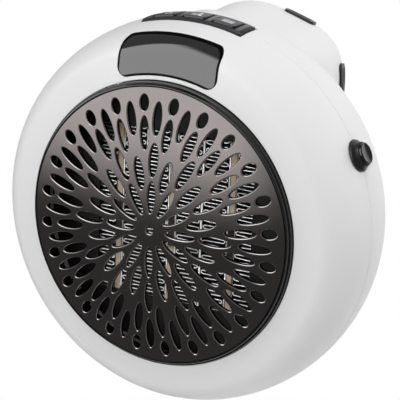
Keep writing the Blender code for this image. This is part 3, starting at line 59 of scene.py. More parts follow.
# %% The ring's centre and the plug's axis
MM = 0.001
TURN, QUARTER = 2 * math.pi, math.pi / 2
RING_SKIRT_DEPTH = 9.0 * MM
ring_low, ring_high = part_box("trim_ring")
RING_R = (ring_high.x - ring_low.x) / 2
CENTRE = Vector((0.0, ring_high.y - RING_SKIRT_DEPTH, (ring_low.z + ring_high.z) / 2))
pin_low, pin_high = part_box("plug_pin_left")
BOSS_CENTRE = Vector((0.0, CENTRE.y, (pin_low.z + pin_high.z) / 2))
BOSS_RISE = BOSS_CENTRE.z - CENTRE.z
print("ring radius", round(RING_R / MM, 2), "mm, centre", [round(v / MM, 2) for v in CENTRE])
print("plug axis", round(BOSS_RISE / MM, 2), "mm above the ring's centre")

# %% [markdown]
# ## Camera
#
# The photograph looks at the heater from its right and from a little above. The camera's place was
# found by laying an ellipse over the ring in the photograph, so here it is given in ring radii:
# azimuth, elevation, roll, two small offsets, the distance, and the focal length in picture widths.

# %% Camera at the photograph's angle
AZIMUTH, ELEVATION, ROLL = math.radians(27.4168), math.radians(16.9536), math.radians(2.4493)
OFFSET_X, OFFSET_Y, DISTANCE, FOCAL_SHARE = -0.2841, -0.1759, 11.2925, 4.14565
SENSOR = 36.0


def facing(azimuth, elevation):
    """Direction from the heater at an azimuth, right of its front, and an elevation."""
    level = math.cos(elevation)
    return Vector((math.sin(azimuth) * level, -math.cos(azimuth) * level, math.sin(elevation)))


towards = facing(AZIMUTH, ELEVATION)
level = Vector((math.cos(AZIMUTH), math.sin(AZIMUTH), 0.0))
upright = towards.cross(level)
right = level * math.cos(ROLL) + upright * math.sin(ROLL)
top = upright * math.cos(ROLL) - level * math.sin(ROLL)
stand = CENTRE + RING_R * (DISTANCE * towards - OFFSET_X * right - OFFSET_Y * top)

camera_data = bpy.data.cameras.new("camera")
camera_data.sensor_width = SENSOR
camera_data.lens = FOCAL_SHARE * SENSOR
camera_data.clip_start = 10 * MM
camera = bpy.data.objects.new("camera", camera_data)
camera.matrix_world = Matrix([*zip(right, top, towards, stand), (0, 0, 0, 1)])
bpy.context.scene.collection.objects.link(camera)
bpy.context.scene.camera = camera
bpy.context.scene.view_settings.view_transform = "Standard"
print("lens", round(camera_data.lens, 1), "mm, distance", round((stand - CENTRE).length, 3), "m")

# %% [markdown]
# ## Helpers for finishes
#
# Paint and plastic colours are easiest to read off as sRGB hex values, but shaders work in linear light,
# so one function turns the one into the other. A second adds a shader node with its settings, and gives
# each input its value or its link. The last one starts a material.

# %% Colours, nodes and materials
WHITE = "#ffffff"


def linear(code, share=1.0):
    """Turns an sRGB hex value into the linear colour that shaders work in, or into a share of it."""
    parts = [int(code[i:i + 2], 16) / 255 for i in (1, 3, 5)]
    parts = [v / 12.92 if v <= 0.04045 else ((v + 0.055) / 1.055) ** 2.4 for v in parts]
    return tuple(v * share for v in parts) + (1.0,)


def wire(tree, node, inputs):
    """Gives each input its value, or links it to a socket or to a node's first output."""
    for name, value in inputs.items():
        if isinstance(value, bpy.types.Node):
            value = value.outputs[0]
        if isinstance(value, bpy.types.NodeSocket):
            tree.links.new(value, node.inputs[name])
        else:
            node.inputs[name].default_value = value


def add(tree, kind, inputs=None, **settings):
    """Adds a node, with its settings and inputs."""
    node = tree.nodes.new("ShaderNode" + kind)
    for name, value in settings.items():
        setattr(node, name, value)
    wire(tree, node, inputs or {})
    return node


def new_material(name):
    """A material, its node tree, and the object coordinates in it."""
    material = bpy.data.materials.new(name)
    material.use_nodes = True
    return material, material.node_tree, add(material.node_tree, "TexCoord").outputs["Object"]


print("mid grey in linear values:", [round(v, 3) for v in linear("#808080")])

# %% [markdown]
# ## World
#
# The photograph's background is plain white paper. The world shows white to the camera and in
# reflections, and gives the surfaces a softer, weaker light, so the paper stays white without burning
# out the casing.

# %% World
ROOM_LIGHT, PAPER_LIGHT = 0.38, 1.0
world = bpy.data.worlds.new("studio")
world.use_nodes = True
tree = world.node_tree
tree.nodes.clear()
rays = add(tree, "LightPath").outputs
seen = add(tree, "Math", {0: rays["Is Camera Ray"], 1: rays["Is Glossy Ray"]}, operation="MAXIMUM")
seen = add(tree, "Math", {0: seen, 1: rays["Is Transmission Ray"]}, operation="MAXIMUM")
room = add(tree, "Background", {"Color": linear(WHITE), "Strength": ROOM_LIGHT})
paper = add(tree, "Background", {"Color": linear(WHITE), "Strength": PAPER_LIGHT})
blend = add(tree, "MixShader", {0: seen, 1: room, 2: paper})
add(tree, "OutputWorld", {"Surface": blend})
bpy.context.scene.world = world
print("world: room light", ROOM_LIGHT, "and white paper behind")

# %% [markdown]
# ## Turning a section
#
# Most pieces of this heater are round: the casing, the ring, the switch and the plug. A lathe makes such
# a shape from its section, and the spin operator is Blender's lathe. A section is drawn as points of
# radius and depth, its edges are spun all the way round, and the seam and the poles are merged.

# %% The lathe
WELD = 0.002 * MM


def turned(section, steps, centre=CENTRE, closed=True):
    """Spins (radius, depth) points about the depth axis through a centre."""
    work = bmesh.new()
    points = [work.verts.new(centre + Vector((radius, depth, 0.0))) for radius, depth in section]
    pairs = list(zip(points, points[1:]))
    if closed:
        pairs.append((points[-1], points[0]))
    edges = [work.edges.new(pair) for pair in pairs]
    bmesh.ops.spin(
        work, geom=points + edges, cent=centre, axis=(0, 1, 0), angle=TURN, steps=steps, use_merge=True
    )
    bmesh.ops.remove_doubles(work, verts=work.verts, dist=WELD)
    bmesh.ops.recalc_face_normals(work, faces=work.faces)
    return work


def as_object(name, work, lay=None):
    """Makes an object from a bmesh, with its place in its mesh."""
    if lay is not None:
        bmesh.ops.transform(work, matrix=lay, verts=work.verts)
    mesh = bpy.data.meshes.new(name)
    work.to_mesh(mesh)
    work.free()
    made = bpy.data.objects.new(name, mesh)
    bpy.context.scene.collection.objects.link(made)
    return made


print("lathe ready; points closer than", round(WELD / MM, 4), "mm are merged")

# %% [markdown]
# ## Cubes, cuts and mounting
#
# Square pieces start as a cube, and the bevel operator rounds their edges. Boolean modifiers do the
# cutting and joining. A finished piece gets its material and smooth shading, rides on its body, and
# stands for the CAD node that it shows.

# %% The cube, the knife and the mount
def cube(work, size, middle=(0, 0, 0)):
    """Adds a box to a bmesh, and returns its corners."""
    lay = Matrix.Translation(middle) @ Matrix.Diagonal((*size, 1.0))
    return bmesh.ops.create_cube(work, size=1.0, matrix=lay)["verts"]


def longer(edges, axis, length):
    """The edges that run along an axis for more than a length."""
    return [e for e in edges if abs((e.verts[0].co - e.verts[1].co)[axis]) > length]


def bevel(work, edges, offset, segments):
    """Rounds edges off."""
    bmesh.ops.bevel(
        work, geom=edges, offset=offset, segments=segments, profile=0.5, affect="EDGES", material=-1
    )


def rounded_block(name, size, corner, lay, axis=2, segments=5):
    """A box whose edges along one axis are rounded."""
    work = bmesh.new()
    cube(work, size)
    bevel(work, longer(work.edges, axis, size[axis] / 2), corner, segments)
    return as_object(name, work, lay)


def carve(target, operation, cutters):
    """Cuts, joins or keeps with other objects by exact Booleans, and uses the cutters up."""
    for cutter in cutters:
        step = target.modifiers.new(cutter.name, "BOOLEAN")
        step.operation = operation
        step.object = cutter
        step.solver = "EXACT"
    bpy.context.view_layer.update()
    depsgraph = bpy.context.evaluated_depsgraph_get()
    shaped = bpy.data.meshes.new_from_object(target.evaluated_get(depsgraph))
    target.modifiers.clear()
    target.data = shaped
    for cutter in cutters:
        bpy.data.objects.remove(cutter, do_unlink=True)
    return target


def mount(made, finish, node, body="housing", crease=35, extra=False):
    """Gives a piece its finish, and lets it ride on a body and stand for a node; an extra only rides."""
    made.data.materials.clear()
    made.data.materials.append(finish)
    made.data.shade_smooth()
    made.data.set_sharp_from_angle(angle=math.radians(crease))
    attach(made, body)
    if not extra:
        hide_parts(node)
    print(made.name, "rides on", body, "with", len(made.data.polygons), "faces")


print("bench ready; meshes so far:", len(bpy.data.meshes))

# %% [markdown]
# ## The casing's section
#
# The casing is two white plastic cups that meet at a seam. In section the crown is an ellipse, which
# runs out into a nearly flat face and back. The same few sizes as in the CAD model draw it here, only
# with more points, and the wall is the same line moved in along its normals.

# %% Section of the crown, the face and the back
FACE_R, FACE_DEPTH = RING_R + 10.0 * MM, 2.8 * MM
CROWN_WIDTH, CROWN_LENGTH = 13.4 * MM, 29.2 * MM
CROWN_R, CROWN_DEPTH = FACE_R + CROWN_WIDTH, FACE_DEPTH + CROWN_LENGTH
SEAM_DEPTH = CROWN_DEPTH - 3.5 * MM
FLAT_ANGLE = math.radians(86)
FLAT_SLOPE = CROWN_LENGTH * math.cos(FLAT_ANGLE) / (CROWN_WIDTH * math.sin(FLAT_ANGLE))
WALL, GAP = 2.2 * MM, 0.3 * MM
CROWN_STEPS, CASING_STEPS, CUTTER_STEPS = 22, 160, 128


def crown_point(angle, inset=0.0):
    """A point of the crown's section, moved in along its normal; angle 0 is the widest place."""
    normal = Vector((math.cos(angle) / CROWN_WIDTH, math.sin(angle) / CROWN_LENGTH)).normalized()
    radius = FACE_R + CROWN_WIDTH * math.cos(angle) - inset * normal.x
    return radius, CROWN_DEPTH + CROWN_LENGTH * math.sin(angle) - inset * normal.y


def crown_angle(depth):
    """The angle on the crown's ellipse at a depth."""
    return math.asin((depth - CROWN_DEPTH) / CROWN_LENGTH)


def crown_line(first, last, steps, inset=0.0):
    """Points of the crown's section from one angle to another."""
    return [crown_point(first + (last - first) * i / steps, inset) for i in range(steps + 1)]


def face_depth(radius, inset=0.0):
    """Depth of the face's flat at a radius."""
    edge_r, edge_depth = crown_point(-FLAT_ANGLE, inset)
    return edge_depth - (edge_r - radius) * FLAT_SLOPE


def front_line(inset, inner_r, last_depth):
    """The front's section from a radius near the ring out to a depth near the seam."""
    start = [(inner_r, face_depth(inner_r, inset))]
    return start + crown_line(-FLAT_ANGLE, crown_angle(last_depth), CROWN_STEPS, inset)


print("crown radius", round(CROWN_R / MM, 1), "mm, seam at depth", round(SEAM_DEPTH / MM, 1), "mm")

# %% [markdown]
# ## Shading that follows the true curve
#
# A cut leaves long thin faces beside it, and Blender's averaged normals bend there, which shows as a
# smear on a glossy skin. The true direction of a turned surface is known, so it is written to the faces
# that lie on that surface, and the rest keep Blender's own.

# %% True normals for turned surfaces
def crown_normal(point):
    """Outward direction of the casing's outer skin near a point."""
    offset = point - CENTRE
    radius = math.hypot(offset.x, offset.z)
    angle = math.atan2((offset.y - CROWN_DEPTH) / CROWN_LENGTH, (radius - FACE_R) / CROWN_WIDTH)
    angle = max(-FLAT_ANGLE, min(FLAT_ANGLE, angle))
    outward, along = math.cos(angle) / CROWN_WIDTH, math.sin(angle) / CROWN_LENGTH
    return Vector((outward * offset.x / radius, along, outward * offset.z / radius)).normalized()


def follow(made, rule, limit=12):
    """Writes a surface's true normals to the faces that lie on it; the others keep their own."""
    mesh = made.data
    close = math.cos(math.radians(limit))
    normals = [Vector((0.0, 0.0, 0.0))] * len(mesh.loops)
    count = 0
    for face in mesh.polygons:
        middle = rule(face.center)
        if middle is None or face.normal.dot(middle) < close:
            continue
        count += 1
        for loop in face.loop_indices:
            normals[loop] = rule(mesh.vertices[mesh.loops[loop].vertex_index].co) or face.normal
    mesh.normals_split_custom_set(normals)
    print(made.name, "has", count, "faces that follow the true curve")


print("seam normal", [round(v, 2) for v in crown_normal(CENTRE + Vector((0, SEAM_DEPTH, CROWN_R)))])

# %% [markdown]
# ## White and black plastics
#
# The casing is ABS moulded in a tool with a fine spark-eroded grain, so it is white and satin. The trim
# is ABS too, but moulded against polished steel, so it is black and shines. One function holds what
# all moulded plastics share: a colour that drifts a little, and a grain that roughens and bumps it.

# %% Moulded plastics
PLASTIC_IOR, DRIFT_SIZE = 1.5, 30 * MM


def moulded(name, colour, roughness, grain, height, drift=0.06):
    """A moulded plastic, with the size and the height of its grain in metres."""
    material, tree, place = new_material(name)
    spots = add(tree, "TexNoise", {"Vector": place, "Scale": 1 / grain, "Detail": 2.0})
    clouds = add(tree, "TexNoise", {"Vector": place, "Scale": 1 / DRIFT_SIZE, "Detail": 1.0})
    tone = add(tree, "Mix", {0: clouds, 6: linear(colour, 1 - drift), 7: linear(colour)}, data_type="RGBA")
    sheen = add(tree, "MapRange", {0: spots, 3: roughness * 0.85, 4: roughness * 1.15})
    relief = add(tree, "Bump", {"Height": spots, "Strength": 0.35, "Distance": height})
    wire(tree, tree.nodes["Principled BSDF"], {
        "Base Color": tone.outputs[2], "Roughness": sheen, "Normal": relief, "IOR": PLASTIC_IOR,
    })
    return material


# Satin white ABS: the grain of the real tool is about 0.1 mm, drawn at 0.5 mm so that it still shows.
white_abs = moulded("white_satin_abs", "#ececec", 0.42, 0.5 * MM, 0.01 * MM, drift=0.03)
# Gloss black ABS: moulded against polished steel, so it mirrors the room with a faint orange peel.
gloss_black_abs = moulded("gloss_black_abs", "#0b0b0c", 0.09, 1.6 * MM, 0.004 * MM)
# Satin black ABS: a fine grain for the intake pads and the side switch, which hides fingerprints.
satin_black_abs = moulded("satin_black_abs", "#141416", 0.38, 0.5 * MM, 0.02 * MM)
print("plastics:", white_abs.name, gloss_black_abs.name, satin_black_abs.name)

# %% [markdown]
# ## Outlines
#
# The window and the strip's ends are drawn flat, seen from the front, and then pushed along the depth.
# An outline between two arcs and two sides gets its rounded corners from four more arcs. The flat sheet
# is then extruded.

# %% Drawing from the front
FRONT_VIEW = Matrix.Translation(CENTRE) @ Matrix.Rotation(QUARTER, 4, "X")


def around(radius, angle):
    """A point (across, up) at a radius and at an angle clockwise from the top."""
    return radius * math.sin(angle), radius * math.cos(angle)


def arc(centre, radius, start, end, steps):
    """Points of an arc round a centre."""
    spots = [around(radius, start + (end - start) * i / steps) for i in range(steps + 1)]
    return [(centre[0] + across, centre[1] + up) for across, up in spots]


def arched(inner, outer, half_width, corner, long_steps=24, corner_steps=8):
    """Outline between two arcs round the ring's centre and two upright sides, with rounded corners."""
    side = half_width - corner
    high, low = math.asin(side / (outer - corner)), math.asin(side / (inner + corner))
    above, below = (outer - corner) * math.cos(high), (inner + corner) * math.cos(low)
    points = arc((0, 0), outer, -high, high, long_steps)
    points += arc((side, above), corner, high, QUARTER, corner_steps)[1:]
    points += arc((side, below), corner, QUARTER, low + 2 * QUARTER, corner_steps)
    points += arc((0, 0), inner, low, -low, long_steps)[1:]
    points += arc((-side, below), corner, 2 * QUARTER - low, 3 * QUARTER, corner_steps)[1:]
    points += arc((-side, above), corner, 3 * QUARTER, 4 * QUARTER - high, corner_steps)[:-1]
    return points


def pushed(name, outline, front, back):
    """Extrudes one outline from a front depth to a back depth."""
    work = bmesh.new()
    sheet = work.faces.new([work.verts.new((across, up, -front)) for across, up in outline])
    made = bmesh.ops.extrude_face_region(work, geom=[sheet])
    moved = [item for item in made["geom"] if isinstance(item, bmesh.types.BMVert)]
    bmesh.ops.translate(work, verts=moved, vec=(0, 0, front - back))
    bmesh.ops.transform(work, matrix=FRONT_VIEW, verts=work.verts)
    bmesh.ops.recalc_face_normals(work, faces=work.faces)
    return as_object(name, work)


WINDOW_INNER, WINDOW_OUTER = RING_R + 2.2 * MM, CROWN_R - 4.4 * MM
WINDOW_HALF_WIDTH, WINDOW_CORNER = 0.379 * RING_R, 4.4 * MM


def window_outline(grow=0.0):
    """The window's outline, grown or shrunk."""
    return arched(WINDOW_INNER - grow, WINDOW_OUTER + grow, WINDOW_HALF_WIDTH + grow, WINDOW_CORNER + grow)


print("window", round((WINDOW_OUTER - WINDOW_INNER) / MM, 1), "mm high,", len(window_outline()), "points")

# %% [markdown]
# ## Where the strip and the buttons sit
#
# The control strip lies across the crown, over the seam. It needs a recess and three button holes in
# both halves of the casing, so the cutters come from functions that are called once for each half. A
# frame that points out from the middle at an angle lays them round.

# %% The strip's bed and the button holes
STRIP_FRONT = SEAM_DEPTH - 7.7 * MM
STRIP_BACK = STRIP_FRONT + 15.6 * MM
STRIP_MIDDLE = (STRIP_FRONT + STRIP_BACK) / 2
STRIP_HALF = math.radians(16.4)
STRIP_PROUD, STRIP_SINK = 0.6 * MM, 1.2 * MM
BUTTON_PITCH = math.radians(9.5)
BUTTON_WIDTH, BUTTON_LENGTH, BUTTON_CORNER = 10.6 * MM, 9.4 * MM, 0.9 * MM
BUTTON_HOLE_DEPTH, OVER = 12 * MM, 1.0 * MM


def radial(angle, depth, out=0.0):
    """A frame on the ring's axis, moved out along its Z, which points at an angle from the top."""
    lay = Matrix.Translation(CENTRE + Vector((0, depth, 0))) @ Matrix.Rotation(angle, 4, "Y")
    return lay @ Matrix.Translation((0, 0, out))


def strip_sector(name, section, steps, half):
    """A turned section, kept only between two angles on either side of the top."""
    wedge = [(0, 0)] + arc((0, 0), CROWN_R + 3 * OVER, -half, half, 12)
    sector = pushed("strip_wedge", wedge, STRIP_FRONT - OVER, STRIP_BACK + OVER)
    return carve(as_object(name, turned(section, steps)), "INTERSECT", [sector])


def strip_recess():
    """The shallow bed that the strip lies in, as a cutter."""
    ends = crown_angle(STRIP_FRONT - GAP), crown_angle(STRIP_BACK + GAP)
    section = crown_line(*ends, 6, STRIP_SINK + GAP) + crown_line(*ends, 6, -OVER)[::-1]
    return strip_sector("strip_bed", section, CUTTER_STEPS, STRIP_HALF + GAP / CROWN_R)


def button_holes():
    """Three square holes through the strip and the wall below it, as cutters."""
    low, high = CROWN_R - BUTTON_HOLE_DEPTH, CROWN_R + 2 * OVER
    size = (BUTTON_WIDTH + 2 * GAP, BUTTON_LENGTH + 2 * GAP, high - low)
    frames = [radial(place * BUTTON_PITCH, STRIP_MIDDLE, (low + high) / 2) for place in (-1, 0, 1)]
    return [rounded_block("button_hole", size, BUTTON_CORNER, lay, segments=4) for lay in frames]


print("strip from", round(STRIP_FRONT / MM, 1), "to", round(STRIP_BACK / MM, 1), "mm deep")

# %% [markdown]
# ## Where the side switch sits
#
# The round side switch sits on the seam itself. Its seat is a shallow round pocket, and a narrower hole
# below it takes the sleeve. Both are pegs made by the cone operator, with the same radius at each end.

# %% The switch's seat
SWITCH_ANGLE = math.radians(64.2)
SWITCH_SEAT, SLEEVE_DEPTH = CROWN_R - 1.0 * MM, 14 * MM
SWITCH_R, SLEEVE_R = 6.8 * MM, 5.1 * MM


def peg(name, radius, length, lay, segments):
    """A round cutter, along the Z of its frame."""
    work = bmesh.new()
    bmesh.ops.create_cone(
        work, cap_ends=True, segments=segments, radius1=radius, radius2=radius, depth=length, matrix=lay
    )
    return as_object(name, work)


def switch_seat():
    """The round seat and the hole for the switch's sleeve, as cutters."""
    cutters = []
    high = CROWN_R + OVER
    for radius, low in ((SWITCH_R + GAP, SWITCH_SEAT), (SLEEVE_R + GAP, CROWN_R - SLEEVE_DEPTH)):
        lay = radial(SWITCH_ANGLE, SEAM_DEPTH, (low + high) / 2)
        cutters.append(peg("switch_seat", radius, high - low, lay, 48))
    return cutters


print("switch", 2 * SWITCH_R / MM, "mm across, with its seat at radius", round(SWITCH_SEAT / MM, 1), "mm")

# %% [markdown]
# ## Front half of the casing
#
# The front cup is turned from the crown's section with its wall, from the ring's opening to the seam. A
# small round at the seam and at the opening stands for the moulded edge, and gives the seam its soft
# grey line. The window's pocket, the strip's bed, the button holes and the switch's seat are cut.

# %% Front casing
EDGE_ROUND, LENS = 0.3 * MM, 1.3 * MM
POCKET_REACH, PANE_REACH = SEAM_DEPTH - 8 * MM, SEAM_DEPTH - 9 * MM
WELL_INSET, WELL_HALF_WIDTH, WELL_CORNER = 2.4 * MM, 17.5 * MM, 2 * MM
OPENING_R = RING_R + GAP
seam_front = SEAM_DEPTH - GAP / 2


def window_shape(name, inset, proud, reach, grow, front):
    """A curved sheet between two lines of the front's section, kept inside the window's outline."""
    section = front_line(inset, OPENING_R, reach) + front_line(-proud, OPENING_R, reach)[::-1]
    outline = pushed(name + "_outline", window_outline(grow), front, SEAM_DEPTH)
    return carve(as_object(name, turned(section, CUTTER_STEPS)), "INTERSECT", [outline])


outer = front_line(0.0, OPENING_R + EDGE_ROUND, seam_front - EDGE_ROUND)
seam_r = outer[-1][0]
section = [(OPENING_R, face_depth(OPENING_R) + EDGE_ROUND)] + outer
section += [(seam_r - 0.3 * EDGE_ROUND, seam_front - 0.3 * EDGE_ROUND), (seam_r - EDGE_ROUND, seam_front)]
section += front_line(WALL, OPENING_R, seam_front)[::-1]
front_casing = as_object("front_casing", turned(section, CASING_STEPS))
pocket = window_shape("window_pocket", LENS + GAP, OVER, POCKET_REACH, GAP / 2, -2 * OVER)
well_outline = arched(WINDOW_INNER + WELL_INSET, WINDOW_OUTER - WELL_INSET, WELL_HALF_WIDTH, WELL_CORNER)
light_well = pushed("light_well", well_outline, -OVER, SEAM_DEPTH / 2)
carve(front_casing, "DIFFERENCE", [pocket, light_well, strip_recess()] + button_holes() + switch_seat())
mount(front_casing, white_abs, "front_shell")
follow(front_casing, crown_normal)

# %% [markdown]
# ## The boss on the back
#
# The rear cup carries a boss that ends in the plug. The boss is nearly round, but it has five shallow
# flats, each with a window for the intake. It is turned as a round shape first, and then each of its
# points moves in or out with the five-fold swell. Where it meets the cup the moulding has a soft fillet,
# made by moving the boss's points outwards as they come close to the cup's surface.

# %% Boss
BOSS_R, BOSS_ROOT_R, ROOT_STEPS, BOSS_STEPS = 39.9 * MM, 37.5 * MM, 12, 120
SHOULDER_R, SHOULDER_LENGTH, SHOULDER_STEPS = 8.3 * MM, 24.4 * MM, 14
FLATS, FLAT_TURN, FLAT_SHARE = 5, math.radians(18), 0.04
BACK_FLAT_R = FACE_R * 0.7
back_r, back_edge = crown_point(FLAT_ANGLE)
BACK_DEPTH = back_edge + (back_r - BACK_FLAT_R) * FLAT_SLOPE
BOSS_END = BACK_DEPTH + 46.8 * MM
FILLET = 7.0 * MM


def back_surface(radius):
    """Depth of the cup's outer surface at a radius from the ring's axis."""
    if radius < BACK_FLAT_R:
        return BACK_DEPTH
    if radius < back_r:
        return back_edge + (back_r - radius) * FLAT_SLOPE
    run = min(1.0, (radius - FACE_R) / CROWN_WIDTH)
    return CROWN_DEPTH + CROWN_LENGTH * math.sqrt(1 - run * run)


def boss_section(inset, root_depth):
    """The boss's section from its root to its end face, in radii from its own axis."""
    shoulder = BOSS_END - SHOULDER_LENGTH
    line = [(0.0, root_depth)]
    for i in range(ROOT_STEPS):
        share = i / ROOT_STEPS
        radius = BOSS_ROOT_R + (BOSS_R - BOSS_ROOT_R) * share - inset
        line.append((radius, root_depth + (shoulder - root_depth) * share))
    for i in range(SHOULDER_STEPS + 1):
        angle = QUARTER * i / SHOULDER_STEPS
        radius = BOSS_R - inset - SHOULDER_R * (1 - math.cos(angle))
        line.append((radius, shoulder + (SHOULDER_LENGTH - inset) * math.sin(angle)))
    return line + [(0.0, line[-1][1])]


def fillet_push(point, across, up, fillet):
    """How far a point of the boss's foot moves out, so that the foot runs into the cup."""
    wide = math.hypot(across, up + BOSS_RISE)
    clear = point.co.y - CENTRE.y - back_surface(min(wide, CROWN_R))
    if clear >= fillet:
        return 0.0
    short = 1 - max(clear, 0.0) / fillet
    room = max(0.0, CROWN_R - wide) / 2
    return min(fillet * (1 - math.sqrt(1 - short * short)), room)


def boss(name, inset, root_depth, fillet=0.0):
    """The boss as one closed shape, with its flats and the fillet at its foot."""
    work = turned(boss_section(inset, root_depth), BOSS_STEPS, BOSS_CENTRE, closed=False)
    for point in work.verts:
        across, up = point.co.x, point.co.z - BOSS_CENTRE.z
        radius = math.hypot(across, up)
        if radius < MM:
            continue
        stretch = 1 - FLAT_SHARE * math.cos(FLATS * (math.atan2(across, up) - FLAT_TURN))
        if fillet:
            stretch += fillet_push(point, across, up, fillet) / radius
        point.co.x, point.co.z = across * stretch, BOSS_CENTRE.z + up * stretch
    return as_object(name, work)


print("boss ends", round(BOSS_END / MM, 2), "mm behind the ring's plane")

# %% [markdown]
# ## Rear half of the casing
#
# The rear cup is turned like the front one, from the seam to the middle of the back, and joined with
# the boss. A second, smaller cup and boss then clear the inside, so the wall is even all over.

# %% Rear casing
seam_back = SEAM_DEPTH + GAP / 2
first = crown_angle(seam_back + EDGE_ROUND)
outer, inner, clear = [crown_line(first, FLAT_ANGLE, CROWN_STEPS, inset) for inset in (0.0, WALL, WALL + GAP)]
back_in = inner[-1][1] + (inner[-1][0] - BACK_FLAT_R) * FLAT_SLOPE
seam_r = outer[0][0]
section = [(0.0, back_in), (BACK_FLAT_R, back_in)] + inner[::-1] + [(inner[0][0], seam_back)]
section += [(seam_r - EDGE_ROUND, seam_back), (seam_r - 0.3 * EDGE_ROUND, seam_back + 0.3 * EDGE_ROUND)]
section += outer + [(BACK_FLAT_R, BACK_DEPTH), (0.0, BACK_DEPTH)]
rear_casing = as_object("rear_casing", turned(section, CASING_STEPS, closed=False))
ROOT = BACK_DEPTH - 14.6 * MM
carve(rear_casing, "UNION", [boss("boss_outside", 0.0, ROOT, FILLET)])
hollow_front = ROOT - 10 * MM
inside = [(0.0, hollow_front), (clear[0][0], hollow_front)] + [p for p in clear if p[1] > hollow_front]
inside += [(BACK_FLAT_R, back_in - GAP), (0.0, back_in - GAP)]
hollow = as_object("casing_inside", turned(inside, CUTTER_STEPS, closed=False))
carve(rear_casing, "DIFFERENCE", [hollow, boss("boss_inside", WALL, ROOT - WALL)])
print("rear casing", round((BACK_DEPTH - SEAM_DEPTH) / MM, 1), "mm deep without its boss")

# %% [markdown]
# ## Openings in the rear casing
#
# Five windows round the boss's shoulder let the intake pads stand out. The back has six long inlet
# slots below the boss and four deep wells for the casing screws. They are all cut in one go, and the
# plug's bore too.

# %% Windows, inlets, screw wells and the plug's bore
VENTS, VENT_TURN, VENT_PITCH = 5, math.radians(23), math.radians(55)
VENT_WIDTH, VENT_LENGTH, VENT_CORNER = 15.6 * MM, 8.0 * MM, 2.2 * MM
VENT_MIDDLE = BOSS_END - 6.4 * MM - VENT_LENGTH / 2
INLETS, INLET_DROP, INLET_PITCH = 6, 60.0 * MM, 5.4 * MM
INLET_WIDTH, INLET_HEIGHT, INLET_CORNER = 54 * MM, 3 * MM, 1.49 * MM
CASE_SCREW_R, CASE_SCREW_ANGLES = FACE_R - 2.0 * MM, (52, 128, 232, 308)
WELL_R, HEAD_DEPTH = 3.3 * MM, SEAM_DEPTH + 15.5 * MM
PLUG_BARREL_R, PLUG_STEPS = 21.0 * MM, 96
ON_CUP = 0.02 * MM


def vent_block(name, index, size, corner, shift=0.0):
    """A rounded block that points out through one of the boss's windows."""
    lay = Matrix.Translation(BOSS_CENTRE) @ Matrix.Rotation(VENT_TURN + index * VENT_PITCH, 4, "Y")
    lay = lay @ Matrix.Translation((0, VENT_MIDDLE + shift, BOSS_R - SHOULDER_R / 2))
    return rounded_block(name, size, corner, lay)


def rod(name, radius, spot, front, back, centre=CENTRE, segments=40):
    """A round cutter that runs front to back through a spot (across, up) beside a centre."""
    lay = Matrix.Translation(centre + Vector((spot[0], (front + back) / 2, spot[1])))
    return peg(name, radius, back - front, lay @ Matrix.Rotation(QUARTER, 4, "X"), segments)


def boss_rod(name, radius, front, back):
    """A wide round cutter on the boss's axis."""
    return rod(name, radius, (0, 0), front, back, BOSS_CENTRE, PLUG_STEPS)


cutters = []
for index in range(VENTS):
    cutters.append(vent_block("vent", index, (VENT_WIDTH, VENT_LENGTH, 2 * SHOULDER_R), VENT_CORNER))
for index in range(INLETS):
    up = BOSS_RISE - (INLET_DROP + index * INLET_PITCH)
    lay = Matrix.Translation(CENTRE + Vector((0, BACK_DEPTH - WALL / 2, up)))
    cutters.append(rounded_block("inlet", (INLET_WIDTH, 2 * WALL, INLET_HEIGHT), INLET_CORNER, lay, axis=1))
for angle in CASE_SCREW_ANGLES:
    spot = around(CASE_SCREW_R, math.radians(angle))
    cutters.append(rod("well", WELL_R, spot, HEAD_DEPTH, BACK_DEPTH + OVER))
bore = boss_rod("plug_bore", PLUG_BARREL_R + GAP, BOSS_END - WALL - OVER, BOSS_END + OVER)
carve(rear_casing, "DIFFERENCE", cutters + [bore, strip_recess()] + button_holes() + switch_seat())
mount(rear_casing, white_abs, "rear_shell")


def rear_normal(point):
    """The cup's true normal, where the point lies on the cup and clear of the boss's fillet."""
    offset = point - CENTRE
    radius = math.hypot(offset.x, offset.z)
    if abs(offset.y - back_surface(min(radius, CROWN_R))) > ON_CUP or radius < MM:
        return None
    return crown_normal(point)


follow(rear_casing, rear_normal)

# %% [markdown]
# ## Intake ring
#
# The black intake pads are one moulding: five pads on a ring inside the boss. They follow the shoulder
# and stand a little proud of it, so they are cut out of a slightly larger boss by five blocks. Two long
# slots go through each pad.

# %% Five pads on one ring
PAD_PROUD, PAD_SLOT, PAD_SLOT_CORNER = 1.1 * MM, 1.7 * MM, 0.8 * MM
PAD_SIZE = (VENT_WIDTH - 2 * GAP, VENT_LENGTH - 2 * GAP, 2 * SHOULDER_R)
PAD_SLOT_SIZE = (VENT_WIDTH - 4 * MM, PAD_SLOT, 3 * SHOULDER_R)
low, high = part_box("intake_ring")
ring_inner = min(
    math.hypot(p.co.x - BOSS_CENTRE.x, p.co.z - BOSS_CENTRE.z) for p in nodes["intake_ring"].data.vertices
)
blocks, openings = [], []
for index in range(VENTS):
    blocks.append(vent_block("pad", index, PAD_SIZE, VENT_CORNER - GAP))
    for shift in (-PAD_SLOT, PAD_SLOT):
        openings.append(vent_block("pad_slot", index, PAD_SLOT_SIZE, PAD_SLOT_CORNER, shift))
carve(blocks[0], "UNION", blocks[1:])
band = boss("intake_band", WALL + GAP, ROOT)
carve(band, "INTERSECT", [boss_rod("band_reach", BOSS_R, low.y - CENTRE.y, high.y - CENTRE.y)])
intake = boss("intake_ring_moulded", -PAD_PROUD, ROOT)
carve(intake, "INTERSECT", [blocks[0]])
carve(intake, "UNION", [band])
carve(intake, "DIFFERENCE", [boss_rod("ring_bore", ring_inner, ROOT, BOSS_END + OVER)] + openings)
mount(intake, satin_black_abs, "intake_ring", crease=30)

